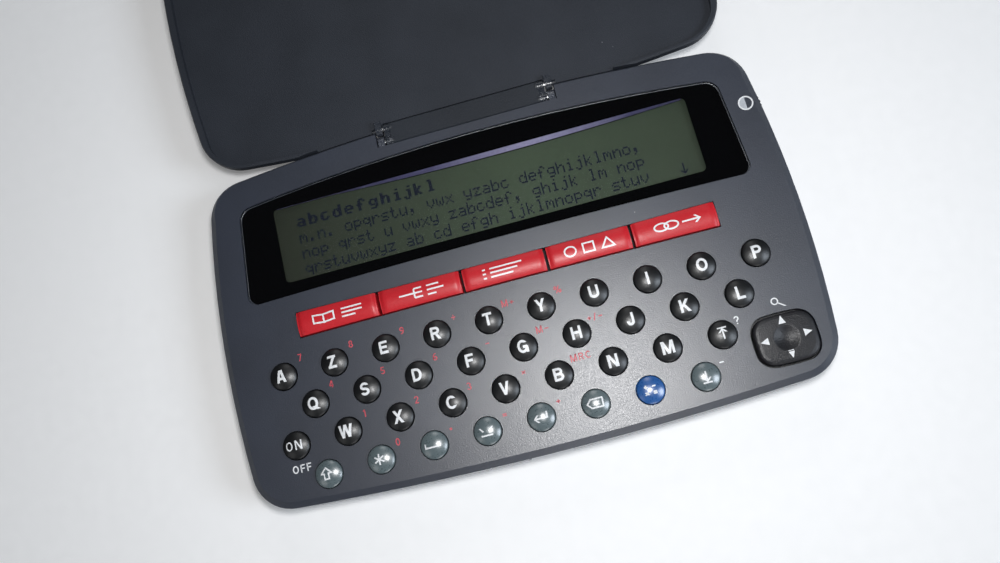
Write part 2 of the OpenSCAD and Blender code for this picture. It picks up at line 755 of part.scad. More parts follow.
module contrast_wheel() {
    teeth = 30;
    color("#1c2026") translate([wheel_x, wheel_y, wheel_z]) difference() {
        cylinder(r = wheel_r, h = wheel_t);
        translate([0, 0, -past]) cylinder(r = wheel_bore, h = wheel_t + 2 * past);
        for (i = [0 : teeth - 1]) rotate(i * 360 / teeth)
            translate([wheel_r + sunk, 0, -past]) cylinder(r = 0.3, h = wheel_t + 2 * past);
    }
}

module case_screws() {
    color("#9a9da1") for (p = POSTS) difference() {
        union() {
            disc(p, head_d / 2, screw_seat - head_h, screw_seat);
            disc(p, screw_d / 2, screw_seat - sunk, screw_seat + screw_l);
        }
        // The cross recess in the head
        for (a = [0, 90]) translate([p.x, p.y, screw_seat - head_h]) rotate(a)
            cube([0.55 * head_d, 0.14 * head_d, head_h], center = true);
    }
}

// A round cap with a domed top and a flange under the face plate
module round_key(k) {
    p = key_place(k);
    r = key_d / 2;
    top = body_h + key_proud;
    dome_r = (r * r + key_dome * key_dome) / (2 * key_dome);
    color(k[3]) {
        intersection() {
            disc(p, r, flange_z, top);
            translate([p.x, p.y, top - dome_r]) sphere(r = dome_r);
        }
        disc(p, r + key_flange, flange_z, flange_z + flange_t);
    }
}

module mode_key(i) {
    x0 = mode_x(i) - mode_l / 2;
    x1 = mode_x(i) + mode_l / 2;
    top = body_h + mode_proud;
    half = mode_slot_end / 2 - mode_gap;
    crown_r = (half * half + mode_crown * mode_crown) / (2 * mode_crown);
    color("#be2330") {
        intersection() {
            slab(mode_band(x0, x1, -mode_gap), flange_z, top);
            translate([mode_x(i), mode_y, top - crown_r]) rotate([0, 90, 0])
                cylinder(r = crown_r, h = mode_l + 2 * past, center = true, $fn = 96);
        }
        slab(mode_band(x0, x1, key_flange), flange_z, flange_z + flange_t);
    }
}

module direction_pad() {
    top = body_h + pad_proud;
    dimple_sphere = (dimple_r * dimple_r + dimple_deep * dimple_deep) / (2 * dimple_deep);
    color("#1c2026") translate([pad_x, pad_y, 0]) difference() {
        union() {
            // The cap's edge rounds over in four steps
            loft([ring(PAD, 0, pad_flange_z + pad_flange_t / 2), ring(PAD, 0, top - 0.7),
                ring(PAD, 0.35, top - 0.3), ring(PAD, 0.9, top - 0.1), ring(PAD, 1.6, top)]);
            slab(inset(PAD, -pad_flange), pad_flange_z, pad_flange_z + pad_flange_t);
        }
        translate([0, 0, top - dimple_deep + dimple_sphere]) sphere(r = dimple_sphere);
    }
}

module pad_post() {
    color("#8d9094") disc([pad_x, pad_y], pad_post_r, board_top + key_play,
        pad_flange_z - key_play);
}

module hinge_link() {
    half = link_l / 2;
    bore_x = ear_x1 - pin_l;
    color("#464b55") difference() {
        union() {
            for (y = [body_axis_y, lid_axis_y]) {
                intersection() {
                    translate([0, y, hinge_z]) rotate([0, 90, 0])
                        cylinder(r = link_r, h = link_l, center = true);
                    block(-link_l, link_l, y - 2 * link_r, y + 2 * link_r,
                        hinge_z - link_t / 2, hinge_z + link_t / 2);
                }
                rods(y, hinge_z, boss_r, half - pin_r, half + boss_l);
            }
            block(-half, half, body_axis_y, lid_axis_y, hinge_z - link_t / 2,
                hinge_z + link_t / 2);
            both_sides(half - pin_r, half + boss_l, body_axis_y, lid_axis_y,
                hinge_z - web_t / 2, hinge_z + web_t / 2);
        }
        for (y = [body_axis_y, lid_axis_y])
            rods(y, hinge_z, pin_r + 0.01, bore_x - sunk, half + boss_l + past);
    }
}

module hinge_pins() {
    color("#c4c7cb") for (y = [body_axis_y, lid_axis_y])
        rods(y, hinge_z, pin_r, ear_x1 - pin_l, ear_x1);
}

module lid() {
    color("#2d3239") difference() {
        union() {
            difference() {
                loft([ring(LID, 1.4, lid_z), ring(LID, 0.5, lid_z + 0.4), ring(LID, 0, lid_z + 1),
                    ring(LID, 0, body_h - 0.3), ring(LID, 0.3, body_h)]);
                slab(LID_RECESS, body_h - lip_h, body_h + past);
                slab(inset(BODY, -lid_gap), lid_z - past, body_h + past);
                block(-notch_x, notch_x, lid_front_y - past, lid_axis_y, lid_z - past,
                    body_h + past);
                block(-ear_x0 + link_gap, ear_x0 - link_gap, lid_front_y - past,
                    lid_axis_y + link_r + link_gap, lid_z - past, body_h + past);
            }
            rods(lid_axis_y, hinge_z, lid_ear_r, ear_x0, ear_x1);
            both_sides(ear_x0, ear_x1, lid_axis_y, lid_axis_y + link_r + link_gap + 0.4,
                hinge_z - lid_ear_r, hinge_z + lid_ear_r - 0.05);
        }
        rods(lid_axis_y, hinge_z, pin_r + pin_run, ear_x0 - past, ear_x1 + past);
    }
}

top_case();
bottom_case();
battery_door();
coin_cells();
battery_contacts();
main_board();
board_parts();
keypad_sheet();
lcd_glass();
lcd_frame();
contact_strips();
display_lens();
contrast_wheel();
case_screws();
direction_pad();
pad_post();
hinge_link();
hinge_pins();
lid();
for (k = ROUND_KEYS) round_key(k);
for (i = [0 : mode_count - 1]) mode_key(i);
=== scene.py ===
"""A pocket electronic dictionary lying open: finishes, printed marks, lights and camera."""

import json
import math

import bmesh
import bpy
import numpy as np
from mathutils import Matrix, Vector

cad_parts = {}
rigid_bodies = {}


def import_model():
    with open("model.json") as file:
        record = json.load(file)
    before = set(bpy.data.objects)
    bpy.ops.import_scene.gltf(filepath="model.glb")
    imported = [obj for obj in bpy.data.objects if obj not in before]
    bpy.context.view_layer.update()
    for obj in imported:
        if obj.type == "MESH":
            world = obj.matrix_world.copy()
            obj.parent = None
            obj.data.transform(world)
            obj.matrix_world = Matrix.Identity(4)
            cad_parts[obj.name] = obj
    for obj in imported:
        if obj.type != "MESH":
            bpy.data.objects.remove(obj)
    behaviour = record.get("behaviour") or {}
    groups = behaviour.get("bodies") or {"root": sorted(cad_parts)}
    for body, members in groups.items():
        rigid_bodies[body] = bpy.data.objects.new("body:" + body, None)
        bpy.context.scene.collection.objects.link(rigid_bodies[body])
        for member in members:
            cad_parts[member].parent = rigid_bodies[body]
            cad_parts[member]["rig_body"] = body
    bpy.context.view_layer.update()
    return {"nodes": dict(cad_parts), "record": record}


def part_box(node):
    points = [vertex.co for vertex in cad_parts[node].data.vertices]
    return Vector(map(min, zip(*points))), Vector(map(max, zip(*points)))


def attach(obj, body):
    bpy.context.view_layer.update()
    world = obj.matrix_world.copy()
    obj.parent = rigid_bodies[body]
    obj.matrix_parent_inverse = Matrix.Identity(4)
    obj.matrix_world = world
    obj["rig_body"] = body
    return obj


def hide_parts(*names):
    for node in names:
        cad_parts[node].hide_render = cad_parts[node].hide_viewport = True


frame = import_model()
nodes = frame["nodes"]

MM = 0.001

# Sizes that the part's source gives too, in millimetres
FACE_Z = 11.0
EARS_X = (16.5, 20.0)
EARS_Y = (33.9, 39.6)
LENS_HALF_W = 54.17
LENS_FRONT = 7.625
LENS_REAR = 31.625
LENS_TAPER = 1.52
LENS_FRONT_R = 2006.0
LENS_REAR_R = 403.0
SLOT_L = 89.3
SLOT_HALF_D = 2.55
SLOT_WAIST = 0.25
MODE_GAP = 0.25

# How far a printed mark stands above its surface
MARK_RISE = 0.02


def box_mm(node):
    """The lowest and highest corner of a node, in millimetres."""
    low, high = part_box(node)
    return np.array(low) / MM, np.array(high) / MM


# Shader helpers

FLOAT = "NodeSocketFloat"
COLOUR = "NodeSocketColor"
VECTOR = "NodeSocketVector"


def feed(tree, node, sockets):
    """Sets a node's inputs to values, or links them to the outputs of other nodes."""
    for socket, value in sockets.items():
        if isinstance(value, bpy.types.NodeSocket):
            tree.links.new(value, node.inputs[socket])
        else:
            node.inputs[socket].default_value = value


def wire(tree, kind, sockets=(), **settings):
    """Adds a shader node of a kind, gives it its settings, and sets or links its inputs."""
    made = tree.nodes.new("ShaderNode" + kind)
    for name, value in settings.items():
        setattr(made, name, value)
    feed(tree, made, dict(sockets))
    return made


def new_group(name, inputs, outputs):
    """An empty shader group with named inputs, as (name, kind, default), and named outputs. With it come the
    sockets that give the inputs, and the node that takes the outputs."""
    group = bpy.data.node_groups.new(name, "ShaderNodeTree")
    for label, kind, value in inputs:
        socket = group.interface.new_socket(label, in_out="INPUT", socket_type=kind)
        if value is not None:
            socket.default_value = value
    for label, kind in outputs:
        group.interface.new_socket(label, in_out="OUTPUT", socket_type=kind)
    return group, group.nodes.new("NodeGroupInput").outputs, group.nodes.new("NodeGroupOutput")


def calc(tree, operation, first, second=0.0, clamp=False):
    """One step of arithmetic."""
    made = wire(tree, "Math", {0: first, 1: second}, operation=operation, use_clamp=clamp)
    return made.outputs[0]


def scaled(tree, vector, factor):
    """The vector times a number."""
    return wire(tree, "VectorMath", {0: vector, "Scale": factor}, operation="SCALE").outputs[0]


def noise(tree, vector, detail=2.0, roughness=0.5):
    """Cloudy noise with one cell to each unit of the vector."""
    sockets = {"Vector": vector, "Scale": 1.0, "Detail": detail, "Roughness": roughness}
    return wire(tree, "TexNoise", sockets).outputs[0]


def spread(tree, value, low, high, to_low=0.0, to_high=1.0):
    """The value taken from one range to another, held at its ends."""
    sockets = {"Value": value, "From Min": low, "From Max": high, "To Min": to_low, "To Max": to_high}
    return wire(tree, "MapRange", sockets, clamp=True).outputs[0]


def evened(tree, value, to_low=0.0, to_high=1.0):
    """Noise, which mostly keeps between 0.3 and 0.7, spread over a whole range."""
    return spread(tree, value, 0.3, 0.7, to_low, to_high)


def mixed(tree, share, first, second):
    """The colour between two others."""
    return wire(tree, "Mix", {0: share, 6: first, 7: second}, data_type="RGBA").outputs[2]


def within(tree, value, low, high, soft=0.2):
    """A mask that is 1 where the value lies between two limits in millimetres, with soft ends."""
    rise = spread(tree, value, (low - soft) * MM, (low + soft) * MM)
    fall = spread(tree, value, (high - soft) * MM, (high + soft) * MM, 1.0, 0.0)
    return calc(tree, "MULTIPLY", rise, fall)


def rgb(red, green, blue):
    """A colour given as a screen shows it, 0 to 255, as the linear colour that a shader takes."""
    parts = np.array([red, green, blue]) / 255.0
    linear = np.where(parts <= 0.04045, parts / 12.92, ((parts + 0.055) / 1.055) ** 2.4)
    return (*[float(v) for v in linear], 1.0)


def make_grain_group():
    """Spark-eroded grain: pits for the height and the roughness, fine specks and slow clouds for the tone."""
    clouds_per_metre = 70.0
    group, given, result = new_group(
        "moulded_grain",
        [("Vector", VECTOR, None), ("Grains per metre", FLOAT, 4000.0),
         ("Dark", COLOUR, (0.05, 0.05, 0.06, 1)), ("Light", COLOUR, (0.06, 0.06, 0.07, 1)),
         ("Roughness", FLOAT, 0.5), ("Roughness swing", FLOAT, 0.08)],
        [("Colour", COLOUR), ("Height", FLOAT), ("Roughness", FLOAT)],
    )
    fine_at = scaled(group, given["Vector"], given["Grains per metre"])
    pits = noise(group, fine_at, 1.0)
    speck = spread(group, noise(group, fine_at, 3.0, 0.6), 0.35, 0.7)
    cloud = evened(group, noise(group, scaled(group, given["Vector"], clouds_per_metre)))
    share = calc(group, "MULTIPLY", calc(group, "ADD", speck, cloud), 0.5)
    swing = calc(group, "MULTIPLY", evened(group, pits), given["Roughness swing"])
    feed(group, result, {
        "Colour": mixed(group, share, given["Dark"], given["Light"]),
        "Height": pits,
        "Roughness": calc(group, "ADD", swing, given["Roughness"]),
    })
    return group


def make_handling_group():
    """Marks of use: hairline scratches and settled dust, as two masks."""
    specks_per_metre = 520.0
    group, given, result = new_group(
        "handling_marks",
        [("Vector", VECTOR, None), ("Dust", FLOAT, 0.5)],
        [("Scratches", FLOAT), ("Dust", FLOAT)],
    )
    stretched = {"Vector": given["Vector"], "Rotation": (0, 0, 0.5), "Scale": (60, 1400, 60)}
    streak = noise(group, wire(group, "Mapping", stretched).outputs[0])
    speck_at = scaled(group, given["Vector"], specks_per_metre)
    speck = wire(group, "TexVoronoi", {"Vector": speck_at, "Scale": 1.0, "Randomness": 1.0}).outputs
    dot = spread(group, speck["Distance"], 0.10, 0.04)
    lot = wire(group, "SeparateColor", {"Color": speck["Color"]}).outputs[0]
    feed(group, result, {
        "Scratches": spread(group, streak, 0.68, 0.74),
        "Dust": calc(group, "MULTIPLY", dot, calc(group, "LESS_THAN", lot, given["Dust"])),
    })
    return group


def make_place_group():
    """Where a finish changes: the hinge ears, rubbed bright and full of fluff, and the smoother walls."""
    fluff_per_metre = 5200.0
    wall_foot, wall_top = 1.4, 9.6
    group, given, result = new_group(
        "ears_and_walls",
        [("Vector", VECTOR, None)],
        [("Ears", FLOAT), ("Fluff", FLOAT), ("Walls", FLOAT)],
    )
    x, y, z = wire(group, "SeparateXYZ", {0: given["Vector"]}).outputs
    beside = within(group, calc(group, "ABSOLUTE", x), *EARS_X)
    ears = calc(group, "MULTIPLY", beside, within(group, y, *EARS_Y))
    tuft = spread(group, noise(group, scaled(group, given["Vector"], fluff_per_metre), 3.0, 0.7), 0.56, 0.62)
    fluff = calc(group, "MULTIPLY", spread(group, y, 35.5 * MM, 37 * MM, 1.0, 0.15), tuft)
    feed(group, result, {
        "Ears": ears,
        "Fluff": calc(group, "MULTIPLY", fluff, ears),
        "Walls": within(group, z, wall_foot, wall_top),
    })
    return group


GRAIN = make_grain_group()
HANDLING = make_handling_group()
PLACES = make_place_group()
FLUFF_COLOUR = (150, 152, 158)
SCRATCH_GLOSS = -0.03
BUMP_DEPTH = 0.2
COAT_ROUGHNESS = 0.5
COAT_IOR = 1.8


def new_material(name):
    """A material with its node tree, its Principled shader and the object coordinates."""
    material = bpy.data.materials.new(name)
    material.use_nodes = True
    tree = material.node_tree
    place = wire(tree, "TexCoord").outputs["Object"]
    return material, tree, tree.nodes["Principled BSDF"], place


def plastic(name, dark, light, rough, grains=4000.0, bump=0.1, dust=0.0, dust_colour=(130, 132, 138),
            swing=0.08, specular=0.5, ior=1.5, coat=0.0, ears=0.0, walls=0.0):
    """Moulded plastic: grained tone, roughness and bump, with hairline scratches, dust and a broad coat.
    The roughness falls by a share of itself at the hinge ears and on the walls."""
    material, tree, shader, place = new_material(name)
    look = {"Vector": place, "Grains per metre": grains, "Dark": rgb(*dark), "Light": rgb(*light),
            "Roughness": rough, "Roughness swing": swing}
    grain = wire(tree, "Group", look, node_tree=GRAIN).outputs
    marks = wire(tree, "Group", {"Vector": place, "Dust": dust}, node_tree=HANDLING).outputs
    tone = mixed(tree, marks["Dust"], grain["Colour"], rgb(*dust_colour))
    worn = calc(tree, "MULTIPLY", marks["Scratches"], SCRATCH_GLOSS)
    total = calc(tree, "ADD", grain["Roughness"], worn, clamp=True)
    if ears or walls:
        places = wire(tree, "Group", {"Vector": place}, node_tree=PLACES).outputs
        tone = mixed(tree, places["Fluff"], tone, rgb(*FLUFF_COLOUR))
        for mask, share in (("Ears", ears), ("Walls", walls)):
            total = calc(tree, "MULTIPLY", total, spread(tree, places[mask], 0.0, 1.0, 1.0, 1.0 - share))
    pitted = {"Height": grain["Height"], "Strength": bump, "Distance": BUMP_DEPTH * MM}
    feed(tree, shader, {
        "Base Color": tone,
        "Roughness": total,
        "Normal": wire(tree, "Bump", pitted).outputs[0],
        "Specular IOR Level": specular,
        "IOR": ior,
        "Coat Weight": coat,
        "Coat Roughness": COAT_ROUGHNESS,
        "Coat IOR": COAT_IOR,
    })
    return material


def metal(name, dark, light, rough):
    """Drawn or plated metal: streaks along one way in tone and roughness."""
    material, tree, shader, place = new_material(name)
    drawn = wire(tree, "Mapping", {"Vector": place, "Scale": (900, 60, 60)}).outputs[0]
    share = evened(tree, noise(tree, drawn, 3.0))
    feed(tree, shader, {
        "Base Color": mixed(tree, share, (*dark, 1), (*light, 1)),
        "Roughness": spread(tree, share, 0.0, 1.0, rough, rough + 0.15),
        "Metallic": 1.0,
    })
    return material


def ink(name, dark, light, rough=0.45, specular=0.5):
    """Printed ink: one tone with a thin, slightly uneven film."""
    material, tree, shader, place = new_material(name)
    film = noise(tree, scaled(tree, place, 2500.0))
    feed(tree, shader, {
        "Base Color": mixed(tree, spread(tree, film, 0.3, 0.8), rgb(*dark), rgb(*light)),
        "Roughness": evened(tree, film, rough, rough + 0.1),
        "Specular IOR Level": specular,
    })
    return material


def clear_acrylic():
    """Clear acrylic that lets the lamps through to the display under it."""
    material, tree, shader, place = new_material("clear_acrylic")
    smear = noise(tree, scaled(tree, place, 90.0), 3.0)
    feed(tree, shader, {
        "Roughness": spread(tree, smear, 0.35, 0.75, 0.02, 0.07),
        "Base Color": (0.97, 0.98, 0.98, 1),
        "Transmission Weight": 1.0,
        "IOR": 1.49,
    })
    through = wire(tree, "BsdfTransparent", {"Color": (0.92, 0.93, 0.93, 1)})
    path = wire(tree, "LightPath").outputs
    passing = calc(tree, "MAXIMUM", path["Is Shadow Ray"], path["Is Diffuse Ray"])
    both = wire(tree, "MixShader", {0: passing, 1: shader.outputs[0], 2: through.outputs[0]})
    feed(tree, tree.nodes["Material Output"], {"Surface": both.outputs[0]})
    return material


def display_material():
    """A reflective liquid crystal panel: olive grey, darker and greyer to both sides, finely mottled."""
    material, tree, shader, place = new_material("liquid_crystal")
    x = wire(tree, "SeparateXYZ", {0: place}).outputs[0]
    tone = mixed(tree, spread(tree, x, -46 * MM, 8 * MM), rgb(37, 40, 31), rgb(66, 79, 61))
    tone = mixed(tree, spread(tree, x, 12 * MM, 46 * MM), tone, rgb(53, 63, 49))
    mottle = noise(tree, scaled(tree, place, 1500.0))
    feed(tree, shader, {
        "Base Color": mixed(tree, evened(tree, mottle, 0.0, 0.35), tone, rgb(54, 60, 49)),
        "Roughness": evened(tree, mottle, 0.45, 0.6),
        "Specular IOR Level": 0.15,
    })
    return material


def step_material():
    """The pale violet edge of the window, with painted light: lightest a little right of its middle and
    painted darker towards both ends.
    """
    material, tree, shader, place = new_material("window_step")
    x = wire(tree, "SeparateXYZ", {0: place}).outputs[0]
    # Painted light and shade: the colour is brightest 12 mm right of the middle and darkens towards both ends
    away = calc(tree, "ABSOLUTE", calc(tree, "SUBTRACT", x, 12 * MM))
    tone = mixed(tree, spread(tree, away, 2 * MM, 22 * MM), rgb(146, 140, 172), rgb(68, 65, 100))
    uneven = noise(tree, scaled(tree, place, 1800.0))
    feed(tree, shader, {
        "Base Color": mixed(tree, evened(tree, uneven, 0.0, 0.25), tone, rgb(60, 58, 84)),
        "Roughness": evened(tree, uneven, 0.45, 0.6),
    })
    return material


SHELL = {"grains": 4200.0, "bump": 0.3}
SHINY_KEY = {"rough": 0.27, "grains": 2200.0, "bump": 0.02, "swing": 0.03, "specular": 1.0, "ior": 1.7}
PLASTICS = {
    "face_plastic": dict(dark=(30, 36, 49), light=(44, 51, 66), rough=0.30, grains=4800.0, bump=0.22,
                         dust=0.004, swing=0.12, specular=0.95, coat=0.55, ears=0.4, walls=0.3),
    "lower_plastic": dict(dark=(46, 50, 59), light=(60, 64, 74), rough=0.42, walls=0.5, **SHELL),
    "lid_plastic": dict(dark=(37, 41, 48), light=(50, 54, 62), rough=0.45, dust=0.004,
                        dust_colour=(110, 112, 118), ears=0.6, **SHELL),
    "link_plastic": dict(dark=(29, 33, 40), light=(39, 44, 52), rough=0.5, ears=0.6, **SHELL),
    "key_black": dict(dark=(5, 6, 8), light=(14, 16, 19), rough=0.37, grains=2200.0, bump=0.06, swing=0.06,
                      specular=0.85),
    "key_grey": dict(dark=(84, 97, 101), light=(98, 111, 114), **SHINY_KEY),
    "key_blue": dict(dark=(24, 78, 142), light=(36, 96, 166), **SHINY_KEY),
    "key_red": dict(dark=(186, 26, 36), light=(206, 36, 46), rough=0.36, grains=3400.0, bump=0.12),
    "pad_plastic": dict(dark=(20, 20, 23), light=(44, 44, 48), rough=0.36, grains=3800.0, bump=0.3,
                        swing=0.1),
    "frame_plastic": dict(dark=(150, 150, 156), light=(170, 170, 176), rough=0.5),
    "strip_rubber": dict(dark=(60, 46, 50), light=(74, 58, 62), rough=0.75),
    "sheet_rubber": dict(dark=(36, 37, 40), light=(50, 51, 55), rough=0.75, grains=2500.0),
    "board_laminate": dict(dark=(34, 92, 58), light=(46, 108, 70), rough=0.4, grains=3000.0),
    "chip_plastic": dict(dark=(28, 30, 33), light=(40, 42, 45), rough=0.55),
    "wheel_plastic": dict(dark=(24, 25, 28), light=(38, 40, 44), rough=0.45),
}
METALS = {
    "cell_steel": ((0.50, 0.50, 0.52), (0.66, 0.66, 0.68), 0.25),
    "contact_brass": ((0.60, 0.50, 0.28), (0.78, 0.68, 0.42), 0.25),
    "screw_steel": ((0.28, 0.28, 0.30), (0.42, 0.42, 0.44), 0.35),
    "pin_steel": ((0.45, 0.46, 0.48), (0.62, 0.63, 0.65), 0.25),
}
FINISHES = {name: plastic(name, **look) for name, look in PLASTICS.items()}
FINISHES |= {name: metal(name, *look) for name, look in METALS.items()}
FINISHES |= {"lens_acrylic": clear_acrylic(), "display_glass": display_material()}
WHITE_INK = ink("white_ink", (222, 224, 226), (246, 247, 248), rough=0.35)
RED_INK = ink("red_ink", (196, 68, 80), (226, 92, 104))
BLACK_INK = ink("black_ink", (1, 1, 2), (4, 5, 7), rough=0.4, specular=0.0)
GREY_INK = ink("grey_ink", (176, 180, 186), (198, 202, 208))
NAVY_INK = ink("navy_crystal", (7, 10, 32), (13, 17, 42), rough=0.5, specular=0.1)
SLOT_OF = {row["node"]: row["material_slot"] for row in frame["record"]["subparts"]}


# Mesh helpers


def add_object(name, data):
    """An object in the scene."""
    made = bpy.data.objects.new(name, data)
    bpy.context.scene.collection.objects.link(made)
    return made


def new_piece(name, shape, body, material=None, slot=None, sharp=35.0):
    """A mesh piece from points in millimetres and faces, shaded smooth up to an angle, riding on a body. With
    no material of its own it has its slot's finish."""
    points, faces = shape
    mesh = bpy.data.meshes.new(name)
    mesh.from_pydata(np.asarray(points) * MM, [], faces)
    mesh.shade_smooth()
    mesh.set_sharp_from_angle(angle=math.radians(sharp))
    mesh.materials.append(material or FINISHES[slot])
    piece = add_object(name, mesh)
    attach(piece, body)
    return piece


def strip_faces(rows, columns, wrap):
    """The quads of a grid of points, row by row, closed round each row if it wraps."""
    cells = columns if wrap else columns - 1
    row, column = np.meshgrid(np.arange(rows - 1), np.arange(cells), indexing="ij")
    following = (column + 1) % columns
    quads = [row * columns + column, row * columns + following,
             (row + 1) * columns + following, (row + 1) * columns + column]
    return np.stack(quads, -1).reshape(-1, 4)


def closed_loft(rings):
    """Points and faces of a solid through rings of equal length, with a fan to the middle of both ends."""
    rings = np.asarray(rings)
    count, around = rings.shape[:2]
    points = np.vstack([rings.reshape(-1, 3), rings[0].mean(0), rings[-1].mean(0)])
    here = np.arange(around)
    after = (here + 1) % around
    under = np.stack([after, here, np.full(around, count * around)], -1)
    last = (count - 1) * around
    over = np.stack([last + here, last + after, np.full(around, count * around + 1)], -1)
    return points, strip_faces(count, around, True).tolist() + under.tolist() + over.tolist()


def turned(profile, centre, around=56):
    """Points and faces of a profile of (radius, height) turned about an upright line through the centre."""
    profile = np.asarray(profile)
    angle = np.arange(around) / around * 2 * math.pi
    ring = np.stack([np.cos(angle), np.sin(angle)], -1)
    rings = np.zeros((len(profile), around, 3))
    rings[:, :, :2] = ring[None] * profile[:, None, :1] + np.asarray(centre)[None, None, :2]
    rings[:, :, 2] = profile[:, 1:2]
    return closed_loft(rings)


def smooth_copy(node, sharp=32.0):
    """A welded copy of a node with its finish, shaded smooth up to an angle, that stands for it."""
    source = nodes[node]
    mesh = source.data.copy()
    piece = add_object(node + "_skin", mesh)
    mesh.shade_smooth()
    weld(mesh, math.radians(sharp))
    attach(piece, source["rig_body"])
    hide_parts(node)
    return piece


def weld(mesh, sharp, flat_area=12.0):
    """Joins the loose triangles of a node's copy where their corners meet. An edge stays sharp where its
    faces turn by more than the angle, and all round a flat larger than the area in square millimetres."""
    work = bmesh.new()
    work.from_mesh(mesh)
    bmesh.ops.remove_doubles(work, verts=work.verts, dist=1e-6)
    work.normal_update()
    area = {}
    plane = {}
    for face in work.faces:
        offset = face.calc_center_median().dot(face.normal) * 4000
        plane[face] = tuple(round(v, 3) for v in (*face.normal, offset))
        area[plane[face]] = area.get(plane[face], 0.0) + face.calc_area() / MM ** 2
    for edge in work.edges:
        if len(edge.link_faces) == 2:
            one, other = edge.link_faces
            apart = edge.calc_face_angle(0.0) > math.radians(1.5)
            flat = max(area[plane[one]], area[plane[other]]) > flat_area
            edge.smooth = not (apart and (flat or edge.calc_face_angle(0.0) > sharp))
    work.to_mesh(mesh)
    work.free()


# Printed marks are strokes with a height and a width of their own, laid on a surface


def arc(centre_x, centre_y, radius_x, radius_y, start=0, end=360):
    """Points along an ellipse, from one angle to another in degrees."""
    count = max(4, int(abs(end - start) / 14))
    angle = np.radians(np.linspace(start, end, count + 1))
    return [(centre_x + radius_x * math.cos(a), centre_y + radius_y * math.sin(a)) for a in angle]


def bar(x0, x1, y):
    """A level stroke."""
    return [(x0, y), (x1, y)]


def post(x, y0=0, y1=1):
    """An upright stroke, as high as a letter if nothing else is said."""
    return [(x, y0), (x, y1)]


